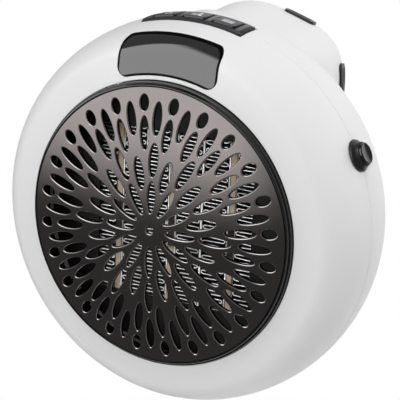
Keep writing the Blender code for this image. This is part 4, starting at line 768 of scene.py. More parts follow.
# %% [markdown]
# ## Trim ring
#
# The black ring holds the grille. From outside in it has a thin rounded edge, a shallow groove, and a
# fuller lip that hides the grille's rim. It is one turned section with a fine step at each of them.

# %% Trim ring
DOME_RISE, DOME_FALL, SHEET = 7.8 * MM, 6.2 * MM, 1.6 * MM
LIP_R, LEDGE_R, LEDGE = RING_R - 1.7 * MM, RING_R - 5.6 * MM, 1.4 * MM
# Millimetres in from the ring's outside, and millimetres behind its plane or behind the dome's edge.
EDGE_STEPS = ((0.0, 0.0), (0.1, -0.3), (0.3, -0.4), (0.45, -0.25), (0.65, -0.3), (0.8, -0.9))
LIP_STEPS = ((1.0, 0.2), (1.2, -0.15), (1.45, -0.2), (1.62, -0.1), (1.7, 0.1))


def dome_depth(radius):
    """Depth of the grille's front, which stands out in front of the ring's plane."""
    return DOME_FALL * (radius / RING_R) ** 2 - DOME_RISE


lip = dome_depth(LIP_R)
ledge = lip + SHEET + GAP
section = [(RING_R, RING_SKIRT_DEPTH)] + [(RING_R - inset * MM, depth * MM) for inset, depth in EDGE_STEPS]
section += [(RING_R - inset * MM, lip + depth * MM) for inset, depth in LIP_STEPS]
section += [(LIP_R, ledge), (LEDGE_R, ledge), (LEDGE_R, ledge + LEDGE), (LIP_R, ledge + LEDGE)]
trim = as_object("trim_ring_turned", turned(section + [(LIP_R, RING_SKIRT_DEPTH)], CASING_STEPS))
mount(trim, gloss_black_abs, "trim_ring", crease=40)

# %% [markdown]
# ## Domed grille
#
# The grille is pressed from one sheet: 108 slots in six staggered rows, each with a rim that rolls in,
# and then the whole disc is domed. Here each slot is six stretched circles, one behind the other. The
# sheet between them is filled flat by the triangle fill, the circles of a slot are bridged into its
# rolled rim, and only then is every point moved onto the dome, as the press does it.

# %% Slots, sheet and dome
# Each row: slots, turn in slots, inner and outer end and width in ring radii.
SLOT_ROWS = (
    (24, 0.5, 0.808, 0.919, 0.069),
    (24, 0.0, 0.650, 0.876, 0.065),
    (24, 0.5, 0.550, 0.776, 0.065),
    (12, 0.0, 0.369, 0.600, 0.068),
    (12, 0.5, 0.282, 0.506, 0.069),
    (12, 0.0, 0.119, 0.340, 0.060),
)
# Each step of a slot's rim: millimetres in from its outline, and millimetres of height.
RIM = ((-0.40, 0.0), (-0.18, -0.06), (0.0, -0.20), (0.13, -0.45), (0.18, -0.80), (0.18, -1.60))
SLOT_SEGMENTS, HUB_SEGMENTS, EDGE_SEGMENTS = 24, 16, 192
GRILLE_R, HUB_R, EDGE_BREAK = LIP_R - GAP, 1.8 * MM, 0.15 * MM


def loop_of(work, radius_x, radius_y, centre, angle, height, segments):
    """One stretched circle, drawn flat, and its edges."""
    lay = Matrix.Translation((*centre, height)) @ Matrix.Rotation(-angle, 4, "Z")
    lay = lay @ Matrix.Diagonal((radius_x, radius_y, 1.0, 1.0))
    made = bmesh.ops.create_circle(work, segments=segments, radius=1.0, matrix=lay)
    return list({edge for point in made["verts"] for edge in point.link_edges})


slots = [(0.0, 0.0, HUB_R, HUB_R, HUB_SEGMENTS)]
for count, start, inner_share, outer_share, width in SLOT_ROWS:
    middle, length = RING_R * (inner_share + outer_share) / 2, RING_R * (outer_share - inner_share)
    for index in range(count):
        slots.append((middle, (index + start) * TURN / count, RING_R * width / 2, length / 2, SLOT_SEGMENTS))
work = bmesh.new()
chains = []
for middle, angle, half_width, half_length, segments in slots:
    chain = []
    for shrink, height in RIM:
        size = half_width - shrink * MM, half_length - shrink * MM
        chain.append(loop_of(work, *size, around(middle, angle), angle, height * MM, segments))
    chains.append(chain)
chains.append([
    loop_of(work, radius, radius, (0, 0), 0, height, EDGE_SEGMENTS)
    for radius, height in ((GRILLE_R - EDGE_BREAK, 0), (GRILLE_R, -EDGE_BREAK), (GRILLE_R, -SHEET))
])
for side, upward in ((0, 1), (-1, -1)):
    edges = [edge for chain in chains for edge in chain[side]]
    bmesh.ops.triangle_fill(work, use_beauty=True, edges=edges, normal=(0, 0, upward))
for chain in chains:
    for near, far in zip(chain, chain[1:]):
        bmesh.ops.bridge_loops(work, edges=near + far)
bmesh.ops.recalc_face_normals(work, faces=work.faces)
for point in work.verts:
    point.co.z -= dome_depth(math.hypot(point.co.x, point.co.y))
print("grille:", len(slots), "openings, open edges:", sum(edge.is_boundary for edge in work.edges))
grille = as_object("slotted_grille", work, FRONT_VIEW)

# %% [markdown]
# ## Metallised plastic
#
# The grille looks like smoked chrome. That is a plastic disc with a thin dark metal film, put on in a
# vacuum and lacquered. It mirrors the room softly and shows its own brownish grey, so it is a metal with
# a dark colour and a few wide ripples. Where the sheet rolls into a slot the film is painted paler, a
# painted highlight on the rim: the shader finds that rim by its depth behind the dome's formula.

# %% Smoked metal film
FLAT = (1.0, 0.0, 1.0)
smoked_chrome, tree, place = new_material("smoked_metallised_abs")
ripple = add(tree, "TexNoise", {"Vector": place, "Scale": 1 / (12 * MM), "Detail": 1.0})
dust = add(tree, "TexNoise", {"Vector": place, "Scale": 1 / (0.6 * MM), "Detail": 2.0})
film = add(tree, "Mix", {0: ripple, 6: linear("#585454"), 7: linear("#5f5a59")}, data_type="RGBA")
middle = add(tree, "VectorMath", {0: place, 1: tuple(CENTRE)}, operation="SUBTRACT")
parts = add(tree, "SeparateXYZ", {0: middle}).outputs
flat = add(tree, "VectorMath", {0: middle, 1: FLAT}, operation="MULTIPLY")
reach = add(tree, "VectorMath", {0: flat, 1: flat}, operation="DOT_PRODUCT").outputs["Value"]
dome = add(tree, "Math", {0: reach, 1: -DOME_FALL / RING_R ** 2, 2: DOME_RISE}, operation="MULTIPLY_ADD")
behind = add(tree, "Math", {0: parts[1], 1: dome}, operation="ADD")
# Painted highlight: the film turns pale on each slot's rolled rim, between these two depths.
rim_highlight_rise = add(tree, "MapRange", {0: behind, 1: 0.03 * MM, 2: 0.12 * MM, 3: 0.0, 4: 1.0})
rim_highlight_fall = add(tree, "MapRange", {0: behind, 1: 0.45 * MM, 2: 0.7 * MM, 3: 1.0, 4: 0.0})
painted_rim_highlight = add(tree, "Math", {0: rim_highlight_rise, 1: rim_highlight_fall}, operation="MULTIPLY")
film = add(tree, "Mix", {0: painted_rim_highlight, 6: film.outputs[2], 7: linear("#a6a3a2")}, data_type="RGBA")
haze = add(tree, "MapRange", {0: dust, 3: 0.10, 4: 0.16})
relief = add(tree, "Bump", {"Height": ripple, "Strength": 0.3, "Distance": 0.05 * MM})
wire(tree, tree.nodes["Principled BSDF"], {
    "Base Color": film.outputs[2], "Roughness": haze, "Normal": relief, "Metallic": 1.0,
})
mount(grille, smoked_chrome, "grille", crease=50)


def dome_normal(point):
    """Direction straight out of the dome near a point of its front."""
    offset = point - CENTRE
    slope = 2 * DOME_FALL / RING_R ** 2
    return Vector((slope * offset.x, -1.0, slope * offset.z)).normalized()


follow(grille, dome_normal, limit=8)

# %% [markdown]
# ## Display window
#
# The window is a curved pane of smoked acrylic that continues the casing's skin. It is the crown's
# section turned round, kept only inside the window's outline. The pane is printed black behind its
# edge, so a narrow frame round it stays black when the digits light. The shader finds that frame by the
# distance from the outline, which is round at the corners.

# %% Smoked pane
PRINT = 0.9 * MM
pane = window_shape("smoked_pane", LENS, 0.0, PANE_REACH, 0.0, -OVER)
smoked_acrylic, tree, place = new_material("smoked_acrylic")
middle = add(tree, "VectorMath", {0: place, 1: tuple(CENTRE)}, operation="SUBTRACT")
flat = add(tree, "VectorMath", {0: middle, 1: FLAT}, operation="MULTIPLY")
reach = add(tree, "VectorMath", {0: flat}, operation="LENGTH").outputs["Value"]
swing = add(tree, "Math", {0: add(tree, "SeparateXYZ", {0: middle})}, operation="ABSOLUTE")
sideways = add(tree, "Math", {0: swing, 1: WINDOW_CORNER - WINDOW_HALF_WIDTH}, operation="ADD")
above = add(tree, "Math", {0: reach, 1: WINDOW_OUTER}, operation="SUBTRACT")
below = add(tree, "Math", {0: WINDOW_INNER, 1: reach}, operation="SUBTRACT")
endways = add(tree, "Math", {0: above, 1: below}, operation="MAXIMUM")
endways = add(tree, "Math", {0: endways, 1: WINDOW_CORNER}, operation="ADD")
past = add(tree, "CombineXYZ", {0: sideways, 1: endways})
past = add(tree, "VectorMath", {0: past, 1: (0.0, 0.0, 0.0)}, operation="MAXIMUM")
past = add(tree, "VectorMath", {0: past}, operation="LENGTH").outputs["Value"]
printed = add(tree, "Math", {0: past, 1: WINDOW_CORNER - PRINT}, operation="GREATER_THAN")
tone = add(tree, "Mix", {0: printed, 6: linear("#242325"), 7: linear("#050505")}, data_type="RGBA")
lustre = add(tree, "MapRange", {0: printed, 3: 0.05, 4: 0.30})
bend = add(tree, "MapRange", {0: printed, 3: 1.64, 4: 1.12})
wire(tree, tree.nodes["Principled BSDF"], {"Base Color": tone.outputs[2], "Roughness": lustre, "IOR": bend})
mount(pane, smoked_acrylic, "display_window")
follow(pane, crown_normal)

# %% [markdown]
# ## Control strip
#
# The strip is a band of the crown that stands a little proud. Its section has rounded ends and a fine
# groove along its front edge, so it is turned with them, kept inside a wedge with rounded corners, and
# cut for the three buttons. Round each hole the shader paints a black band of shadow, as in a gap, by
# the distance from the nearest button's outline.

# %% Strip over the crown
PROUD_STEPS, BED_STEPS, STRIP_STEPS = 16, 8, 256
# The second size is the width of the painted black shadow round each button hole.
STRIP_CORNER, GAP_SHADOW_WIDTH = 2.8 * MM, 0.75 * MM
# How much lower the section lies at its ends and in its groove, by step.
LOWER = {0: 0.45 * MM, 2: 0.28 * MM, PROUD_STEPS: 0.45 * MM}
ends = crown_angle(STRIP_FRONT), crown_angle(STRIP_BACK)
section = []
for i in range(PROUD_STEPS + 1):
    turn = ends[0] + (ends[1] - ends[0]) * i / PROUD_STEPS
    section.append(crown_point(turn, LOWER.get(i, 0.0) - STRIP_PROUD))
section += crown_line(*ends, BED_STEPS, STRIP_SINK)[::-1]
strip = strip_sector("control_strip", section, STRIP_STEPS, STRIP_HALF)
strip_size = (2 * CROWN_R * math.sin(STRIP_HALF), STRIP_BACK - STRIP_FRONT, 2 * CROWN_R)
above = Matrix.Translation(CENTRE + Vector((0, STRIP_MIDDLE, CROWN_R)))
carve(strip, "INTERSECT", [rounded_block("strip_corners", strip_size, STRIP_CORNER, above)])
carve(strip, "DIFFERENCE", button_holes())

# The strip's grey, with a painted black shadow round each button hole, as in the gap beside a cap.
grey_with_gap_shadow = moulded("dark_grey_abs_with_painted_gap_shadows", "#2c2c31", 0.30, 0.5 * MM, 0.01 * MM)
tree = grey_with_gap_shadow.node_tree
grey = tree.nodes["Principled BSDF"].inputs["Base Color"].links[0].from_socket
place = add(tree, "TexCoord").outputs["Object"]
middle = add(tree, "VectorMath", {0: place, 1: tuple(CENTRE)}, operation="SUBTRACT")
parts = add(tree, "SeparateXYZ", {0: middle}).outputs
turn = add(tree, "Math", {0: parts[0], 1: parts[2]}, operation="ARCTAN2")
near = add(tree, "Math", {0: turn, 1: BUTTON_PITCH / 2}, operation="PINGPONG")
across = add(tree, "Math", {0: near, 1: CROWN_R, 2: -BUTTON_WIDTH / 2}, operation="MULTIPLY_ADD")
along = add(tree, "Math", {0: parts[1], 1: STRIP_MIDDLE}, operation="SUBTRACT")
along = add(tree, "Math", {0: along}, operation="ABSOLUTE")
along = add(tree, "Math", {0: along, 1: BUTTON_LENGTH / 2}, operation="SUBTRACT")
clear = add(tree, "Math", {0: across, 1: along}, operation="MAXIMUM")
# Within that width of a button's outline the grey turns black and matt: painted shadow.
gap_shadow = add(tree, "Math", {0: clear, 1: GAP_SHADOW_WIDTH}, operation="LESS_THAN")
tone = add(tree, "Mix", {0: gap_shadow, 6: grey, 7: linear("#060607")}, data_type="RGBA")
sheen = add(tree, "MapRange", {0: gap_shadow, 3: 0.30, 4: 0.60})
wire(tree, tree.nodes["Principled BSDF"], {"Base Color": tone.outputs[2], "Roughness": sheen})
mount(strip, grey_with_gap_shadow, "control_panel", crease=30)

# %% [markdown]
# ## Buttons
#
# Each button is a square cap with rounded corners, a wider flange under the wall that keeps it in, and a
# stem that reaches its switch. The cap is a cube whose edges are bevelled, first the uprights and then
# the rim of the top. The flange's and the stem's ends are read off the CAD button.

# %% Three button caps
BUTTONS = ((-1, "button_left", "power"), (0, "button_middle", "fan"), (1, "button_right", "bars"))
CAP_PROUD, CAP_CLEAR, CAP_RIM = 0.25 * MM, 0.4 * MM, 0.35 * MM
FLANGE_REACH, STEM_WIDTH = 1.2 * MM, 2.4 * MM
charcoal_abs = moulded("charcoal_abs", "#1b1b1e", 0.34, 0.5 * MM, 0.01 * MM)
button_top = crown_point(crown_angle(STRIP_MIDDLE))[0] + STRIP_PROUD + CAP_PROUD


def button_block(name, width, length, low, high, lay, rounded=False):
    """A block round a button's axis between two heights; only the cap is rounded."""
    work = bmesh.new()
    cube(work, (width, length, high - low), (0, STRIP_MIDDLE, (low + high) / 2))
    if rounded:
        bevel(work, longer(work.edges, 2, (high - low) / 2), BUTTON_CORNER, 5)
        bevel(work, [e for e in work.edges if all(p.co.z > high - WELD for p in e.verts)], CAP_RIM, 3)
    return as_object(name, work, lay)


for place, node, mark in BUTTONS:
    lay = radial(place * BUTTON_PITCH, 0)
    corners = [lay.inverted() @ point.co for point in nodes[node].data.vertices]
    stem_low = min(corner.z for corner in corners)
    wide = [corner.z for corner in corners if abs(corner.x) > BUTTON_WIDTH / 2 + WELD]
    cap_low = (max(wide) + min(wide)) / 2
    cap_size = BUTTON_WIDTH - CAP_CLEAR, BUTTON_LENGTH - CAP_CLEAR
    cap = button_block(node + "_cap", *cap_size, cap_low, button_top, lay, rounded=True)
    flange_size = BUTTON_WIDTH + FLANGE_REACH, BUTTON_LENGTH + FLANGE_REACH
    flange = button_block("flange", *flange_size, min(wide), max(wide), lay)
    stem = button_block("stem", STEM_WIDTH, STEM_WIDTH, stem_low, cap_low, lay)
    carve(cap, "UNION", [flange, stem])
    mount(cap, charcoal_abs, node, node, crease=30)

# %% [markdown]
# ## Marks on the buttons
#
# The marks are pad-printed in pale grey ink, and generic: a ring with a stroke, a small fan, and three
# bars. Each is a thin sheet that stands a hair above its cap, made from spun sections, from cubes with
# rounded ends, and from flat discs stretched into blades.

# %% Printed marks
pale_ink = moulded("pale_grey_ink", "#f4f4f6", 0.55, 0.3 * MM, 0.004 * MM)
INK, INK_OVERLAP, BAR_ROUND = 0.03 * MM, 0.2, 0.45
RING_INK, RING_START, RING_SWEEP = (1.35 * MM, 1.75 * MM), math.radians(35), math.radians(290)
STROKE_PLACE, STROKE_INK = 1.2 * MM, (0.45 * MM, 1.9 * MM)
HUB_INK, BLADES = (0.1 * MM, 0.55 * MM), 3
BLADE_SIZE, BLADE_PLACE = (0.75 * MM, 1.25 * MM), (0.5 * MM, 1.7 * MM, INK / 2)
BAR_PITCH, BAR_INK = 1.35 * MM, (5.4 * MM, 0.6 * MM)


def flat_bar(work, along, size):
    """A thin bar of ink with rounded ends."""
    corners = cube(work, (*size, INK), (0.0, along, INK / 2))
    uprights = longer([edge for point in corners for edge in point.link_edges], 2, INK / 2)
    bevel(work, list(set(uprights)), min(size) * BAR_ROUND, 3)


def ink_ring(work, radii, start, sweep, steps):
    """Part of a ring of ink, spun from a small rectangle."""
    inner_r, outer_r = radii
    corners = [(inner_r, 0.0), (outer_r, 0.0), (outer_r, INK), (inner_r, INK)]
    sheet = work.faces.new([work.verts.new((*around(radius, start), high)) for radius, high in corners])
    bmesh.ops.spin(
        work, geom=[sheet], cent=(0, 0, 0), axis=(0, 0, -1), angle=sweep, steps=steps, use_duplicate=False
    )


def blade(work, turn):
    """One blade of the small fan: a flat disc stretched along its radius."""
    lay = Matrix.Rotation(turn, 4, "Z") @ Matrix.Translation(BLADE_PLACE)
    lay = lay @ Matrix.Diagonal((*BLADE_SIZE, 1.0, 1.0))
    bmesh.ops.create_cone(work, cap_ends=True, segments=20, radius1=1.0, radius2=1.0, depth=INK, matrix=lay)


for place, node, mark in BUTTONS:
    work = bmesh.new()
    if mark == "power":
        ink_ring(work, RING_INK, RING_START, RING_SWEEP, 28)
        flat_bar(work, STROKE_PLACE, STROKE_INK)
    elif mark == "fan":
        ink_ring(work, HUB_INK, 0.0, TURN, 18)
        for index in range(BLADES):
            blade(work, index * TURN / BLADES)
    else:
        for row in (-1, 0, 1):
            flat_bar(work, row * BAR_PITCH, BAR_INK)
    bmesh.ops.recalc_face_normals(work, faces=work.faces)
    lay = radial(place * BUTTON_PITCH, STRIP_MIDDLE, button_top - INK_OVERLAP * INK)
    mount(as_object(f"{mark}_mark", work, lay), pale_ink, node, node, crease=30, extra=True)

# %% [markdown]
# ## Side switch
#
# A round push switch sits on the seam: a flared black collar, and a dished cap that the finger pushes
# in. Both are lathe work, with their own fine sections, turned about an axis that points out from the
# ring's centre and then laid on the seam.

# %% Collar and cap of the side switch
SWITCH_LAY = radial(SWITCH_ANGLE, SEAM_DEPTH)
SKIRT, MOUTH, LIP = 1.2 * MM, 1.0 * MM, 0.1 * MM
CAP_INNER, CAP_OUTER = 3.9 * MM, 4.7 * MM
BORE_R, MOUTH_R = 4.2 * MM, 4.9 * MM
# The collar's flare: millimetres of radius, and the share of the collar's height.
FLARE = ((5.3, 0.85), (5.55, 0.66), (5.95, 0.5), (6.5, 0.38), (6.76, 0.3), (6.8, 0.2), (6.8, 0.0))
# The cap's dish: millimetres of radius, and millimetres below its rim.
DISH = ((0.0, 0.5), (1.5, 0.46), (3.0, 0.3), (3.9, 0.1), (4.2, 0.0), (4.45, 0.06), (4.62, 0.22), (4.7, 0.5))


def on_switch_axis(name, section, closed):
    """Turns (radius, height) points, and lays them on the switch's axis."""
    lay = SWITCH_LAY @ Matrix.Rotation(QUARTER, 4, "X") @ Matrix.Translation(-CENTRE)
    return as_object(name, turned(section, 72, closed=closed), lay)


def heights(node):
    """The lowest and the highest point of a node along the switch's axis."""
    along = [(SWITCH_LAY.inverted() @ point.co).z for point in nodes[node].data.vertices]
    return min(along), max(along)


base = SWITCH_SEAT + GAP
sleeve_low = heights("side_switch_bezel")[0]
cap_low, cap_high = heights("side_switch_cap")
skirt = cap_high - SKIRT
collar_top, mouth = skirt + LIP, skirt - MOUTH
section = [(BORE_R, mouth), (MOUTH_R, mouth), (MOUTH_R, collar_top - LIP), (MOUTH_R + LIP, collar_top)]
section += [(MOUTH_R + 2.5 * LIP, collar_top - 0.8 * LIP)]
section += [(radius * MM, base + share * (collar_top - base)) for radius, share in FLARE]
section += [(SLEEVE_R, base), (SLEEVE_R, sleeve_low), (BORE_R, sleeve_low)]
collar = on_switch_axis("switch_collar", section, True)
mount(collar, satin_black_abs, "side_switch_bezel", crease=40)
section = [(radius * MM, cap_high - depth * MM) for radius, depth in DISH]
section += [(CAP_OUTER, skirt), (CAP_INNER, skirt), (CAP_INNER, cap_low), (0.0, cap_low)]
switch_cap = on_switch_axis("switch_cap", section, False)
mount(switch_cap, gloss_black_abs, "side_switch_cap", "side_switch_cap", crease=40)

# %% [markdown]
# ## Plated and rolled metals
#
# The pins and screws are plated with nickel or zinc, the contacts are brass strip, and the motor's can
# is drawn steel. One function makes such a metal, with the fine lines that rolling or turning leaves in
# one direction.

# %% Plated and rolled metals
LINE_STRETCH, DULL_SHARE = 40, 0.88


def bare_metal(name, colour, roughness, line, along, spread=0.06):
    """A metal with fine lines; line is their spacing in metres, along the axis that they run in."""
    material, tree, place = new_material(name)
    stretch = [1 / line] * 3
    stretch["XYZ".index(along)] = 1 / (LINE_STRETCH * line)
    run = add(tree, "Mapping", {"Vector": place, "Scale": tuple(stretch)})
    lines = add(tree, "TexNoise", {"Vector": run, "Scale": 1.0, "Detail": 3.0})
    tone = add(tree, "Mix", {0: lines, 6: linear(colour, DULL_SHARE), 7: linear(colour)}, data_type="RGBA")
    haze = add(tree, "MapRange", {0: lines, 3: roughness - spread, 4: roughness + spread})
    relief = add(tree, "Bump", {"Height": lines, "Strength": 0.25, "Distance": 0.01 * MM})
    wire(tree, tree.nodes["Principled BSDF"], {
        "Base Color": tone.outputs[2], "Roughness": haze, "Normal": relief, "Metallic": 1.0,
    })
    return material


# Nickel over brass: warm, bright and smooth, as on the plug's pins.
nickel_plate = bare_metal("nickel_plated_brass", "#cfc9bd", 0.16, 0.2 * MM, "Z", 0.04)
# Zinc over steel: bluish and a little dull, as on screws and the retaining ring.
zinc_plate = bare_metal("zinc_plated_steel", "#b9bcc0", 0.34, 0.2 * MM, "X")
# Brass strip for the spring contacts, and drawn steel for the motor's can and shaft.
brass_strip = bare_metal("rolled_brass_strip", "#d9b767", 0.28, 0.2 * MM, "X")
drawn_steel = bare_metal("drawn_steel_can", "#a9abae", 0.30, 0.3 * MM, "Y")
print("metals:", nickel_plate.name, zinc_plate.name, brass_strip.name, drawn_steel.name)

# %% [markdown]
# ## Fin stock
#
# The sides of the fins are painted near black, a painted shade for the dark between them. Their sheared
# front edge is bare aluminium. Shearing rolls it over, so its normal is tipped upward and it mirrors the
# bright part of the room as a white line. The rails are the same strip.

# %% Aluminium with painted shade on its sides and a bright cut edge
TIP = (0.0, 0.0, 0.4)


def tipped_up(tree, normal, share):
    """A normal that leans upward by a share, as that of a rolled-over edge does."""
    lift = add(tree, "VectorMath", {0: TIP, 3: share}, operation="SCALE")
    lean = add(tree, "VectorMath", {0: normal, 1: lift}, operation="ADD")
    return add(tree, "VectorMath", {0: lean}, operation="NORMALIZE")


heater_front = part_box("fin_pack_1")[0].y
fin_stock, tree, place = new_material("aluminium_fin_stock_with_painted_shade")
depth = add(tree, "SeparateXYZ", {0: place}).outputs[1]
edge_span = {1: heater_front + 0.25 * MM, 2: heater_front + 0.45 * MM}
cut_edge = add(tree, "MapRange", {0: depth, **edge_span, 3: 1.0, 4: 0.0})
burr = add(tree, "TexNoise", {"Vector": place, "Scale": 1 / (0.8 * MM), "Detail": 2.0})
cut_tone = add(tree, "Mix", {0: burr, 6: linear("#dcdcda"), 7: linear(WHITE)}, data_type="RGBA")
# Behind the cut edge the sides of the fins and rails are painted near black: painted shade.
tone = add(tree, "Mix", {0: cut_edge, 6: linear("#0d0d0e"), 7: cut_tone.outputs[2]}, data_type="RGBA")
lean = tipped_up(tree, add(tree, "NewGeometry").outputs["Normal"], cut_edge)
wire(tree, tree.nodes["Principled BSDF"], {
    "Base Color": tone.outputs[2], "Normal": lean, "Metallic": cut_edge, "Roughness": 0.35,
})
print("cut edge of the fins at depth", round((heater_front - CENTRE.y) / MM, 1), "mm")

# %% [markdown]
# ## Folded fins
#
# Each fin pack is one aluminium strip, folded to and fro between two rails by a pair of gears. The fold
# is drawn as a line with a small arc at each turn, extruded to the depth of the pack, and given the
# strip's thickness. The strip here is thicker than the real 0.1 mm, so that its edge still shows. The
# bars, rails and fins stand where the photograph shows them, a little beside their CAD boxes.

# %% Six fin packs
FOLD, STRIP, BEND_SHARE, BEND_STEPS = 3.4 * MM, 0.32 * MM, 0.42, 3
BARS = ["ptc_bar_left", "ptc_bar_middle", "ptc_bar_right"]
BAR_PLACES = [-27.9 * MM, -1.9 * MM, 26.9 * MM]
PACKS = [f"fin_pack_{number}" for number in range(1, 7)]
ends = [min(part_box(pack)[0].x for pack in PACKS), max(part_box(pack)[1].x for pack in PACKS)]
cad_places = [ends[0]] + [sum(corner.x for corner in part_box(name)) / 2 for name in BARS] + [ends[1]]
seen_places = [ends[0]] + BAR_PLACES + [ends[1]]


def seen_box(name):
    """A node's box with its sides moved to where the photograph shows them."""
    moved = []
    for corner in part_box(name):
        near = sum(corner.x > place for place in cad_places[1:-1])
        share = (corner.x - cad_places[near]) / (cad_places[near + 1] - cad_places[near])
        across = seen_places[near] + share * (seen_places[near + 1] - seen_places[near])
        moved.append(Vector((across, corner.y, corner.z)))
    return moved


def fold_line(reach, height):
    """Points (across, up) along the folded strip, with rounded turns."""
    runs = 2 * round(height / FOLD)
    rise = height / runs
    bend = rise * BEND_SHARE
    points = []
    for i in range(runs + 1):
        side = 1 if i % 2 else -1
        up = -height / 2 + i * rise
        for j in range(BEND_STEPS + 1):
            t = math.pi * (j / BEND_STEPS - 0.5)
            points.append((side * (reach - bend + bend * math.cos(t)), up + bend * math.sin(t)))
    return [p for p in points if abs(p[1]) <= height / 2]


for pack in PACKS:
    low, high = seen_box(pack)
    middle = (low + high) / 2
    line = fold_line((high.x - low.x - STRIP) / 2, high.z - low.z - STRIP)
    work = bmesh.new()
    points = [work.verts.new((middle.x + across, low.y, middle.z + up)) for across, up in line]
    edges = [work.edges.new(pair) for pair in zip(points, points[1:])]
    made = bmesh.ops.extrude_edge_only(work, edges=edges)
    moved = [item for item in made["geom"] if isinstance(item, bmesh.types.BMVert)]
    bmesh.ops.translate(work, verts=moved, vec=(0, high.y - low.y, 0))
    fins = as_object(pack.replace("fin_pack", "folded_fins"), work)
    wall = fins.modifiers.new("strip", "SOLIDIFY")
    wall.thickness, wall.offset = STRIP, 0.0
    carve(fins, "UNION", [])
    mount(fins, fin_stock, pack, crease=45)

# %% [markdown]
# ## Amber film on the ceramic bars
#
# Each heating bar is a row of ceramic stones between two aluminium plates, wrapped in brown polyimide
# film. The film is glossy, and where it laps it is darker, with the plate's bright edge beside it. These
# bands are drawn across a bar's front by the distance from its middle. A little below half-way, the film
# stops and dark ceramic shows. Just behind the front, the bar's sides get a painted shade. The bars and
# the rails are plain boxes with small round edges.

# %% Bars and rails
BARE_MIDDLE, BARE_HALF, FAR = CENTRE.z - 5.5 * MM, 8.5 * MM, 1.0
bar_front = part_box("ptc_bar_left")[0].y
amber_film, tree, place = new_material("polyimide_film_on_ceramic")
parts = add(tree, "SeparateXYZ", {0: place}).outputs
lane = FAR
for across in BAR_PLACES:
    off = add(tree, "Math", {0: parts[0], 1: across}, operation="SUBTRACT")
    off = add(tree, "Math", {0: off}, operation="ABSOLUTE")
    lane = add(tree, "Math", {0: lane, 1: off}, operation="MINIMUM")
lap = add(tree, "MapRange", {0: lane, 1: 1.05 * MM, 2: 1.35 * MM, 3: 0.0, 4: 1.0})
plate = add(tree, "Math", {0: lane, 1: 1.6 * MM}, operation="GREATER_THAN")
up = add(tree, "Math", {0: parts[2], 1: BARE_MIDDLE}, operation="SUBTRACT")
up = add(tree, "Math", {0: up}, operation="ABSOLUTE")
bare = add(tree, "MapRange", {0: up, 1: BARE_HALF - MM, 2: BARE_HALF + MM, 3: 1.0, 4: 0.0})
# Just behind a bar's front its sides turn almost black: painted shade.
deep = add(tree, "MapRange", {0: parts[1], 1: bar_front + 0.3 * MM, 2: bar_front + 0.5 * MM, 3: 0.0, 4: 1.0})
crinkle = add(tree, "TexNoise", {"Vector": place, "Scale": 1 / (2.5 * MM), "Detail": 3.0})
film = add(tree, "Mix", {0: crinkle, 6: linear("#f4d2ae"), 7: linear("#ffe6cc")}, data_type="RGBA")
for share, colour in ((lap, "#5d3a20"), (bare, "#241c18"), (plate, "#f4f4f1"), (deep, "#1c1510")):
    film = add(tree, "Mix", {0: share, 6: film.outputs[2], 7: linear(colour)}, data_type="RGBA")
relief = add(tree, "Bump", {"Height": crinkle, "Strength": 0.5, "Distance": 0.1 * MM})
front_only = add(tree, "Math", {0: 1.0, 1: deep}, operation="SUBTRACT")
shine = add(tree, "Math", {0: plate, 1: deep}, operation="SUBTRACT", use_clamp=True)
gloss = add(tree, "MapRange", {0: bare, 3: 0.28, 4: 0.75})
lean = tipped_up(tree, relief, front_only)
wire(tree, tree.nodes["Principled BSDF"], {
    "Base Color": film.outputs[2], "Normal": lean, "Metallic": shine, "Roughness": gloss, "IOR": 1.7,
})


def edged_box(kind, node, edge, finish):
    """A box where the photograph shows a node, with all its edges a little rounded."""
    low, high = seen_box(node)
    work = bmesh.new()
    cube(work, high - low, (low + high) / 2)
    bevel(work, work.edges[:], edge, 2)
    mount(as_object(kind + node, work), finish, node)


for bar in BARS:
    edged_box("wrapped_", bar, 0.15 * MM, amber_film)
for rail in [f"heater_rail_{place}" for place in range(1, 5)]:
    edged_box("bright_", rail, 0.1 * MM, fin_stock)

# %% [markdown]
# ## Plug
#
# The plug is a round body in black glass-filled nylon, with a collar that turns on the boss's end, two
# keyways and two round pins. It is lathe work again, with rounded edges, and the keyways and the pins'
# bores are cut. The pins are turned with a domed end.

# %% Plug body and pins
black_nylon = moulded("glass_filled_nylon", "#161617", 0.46, 0.8 * MM, 0.03 * MM, drift=0.2)
BODY_R, COLLAR_R, NECK_R, PIN_R = 18.6 * MM, 23.4 * MM, 16.0 * MM, 2.4 * MM
PLUG_FACE, PIN_OUT = BOSS_END + 17.0 * MM, 9.5 * MM
KEYWAY_SIZE, KEYWAY_CORNER, KEYWAY_BACK = (5.6 * MM, 17 * MM, 4.8 * MM), 0.6 * MM, 8.5 * MM
# The rounded edges, as millimetres in from the radius and millimetres in from the face.
BODY_EDGE = ((1.2, 0.0), (0.6, 0.16), (0.16, 0.6), (0.0, 1.2))
COLLAR_EDGE = ((0.6, 0.0), (0.18, 0.18), (0.0, 0.6))
collar_low = BOSS_END + GAP
collar_high = collar_low + 1.4 * MM
plug_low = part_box("plug_carrier")[0].y - CENTRE.y
section = [(0.0, PLUG_FACE)] + [(BODY_R - inset * MM, PLUG_FACE - depth * MM) for inset, depth in BODY_EDGE]
section += [(BODY_R, collar_high)]
section += [(COLLAR_R - inset * MM, collar_high - depth * MM) for inset, depth in COLLAR_EDGE]
section += [(COLLAR_R, collar_low), (PLUG_BARREL_R, collar_low), (PLUG_BARREL_R, BOSS_END - WALL)]
section += [(NECK_R, BOSS_END - WALL), (NECK_R, plug_low), (0.0, plug_low)]
plug_body = as_object("plug_body", turned(section, PLUG_STEPS, BOSS_CENTRE, closed=False))
cutters = []
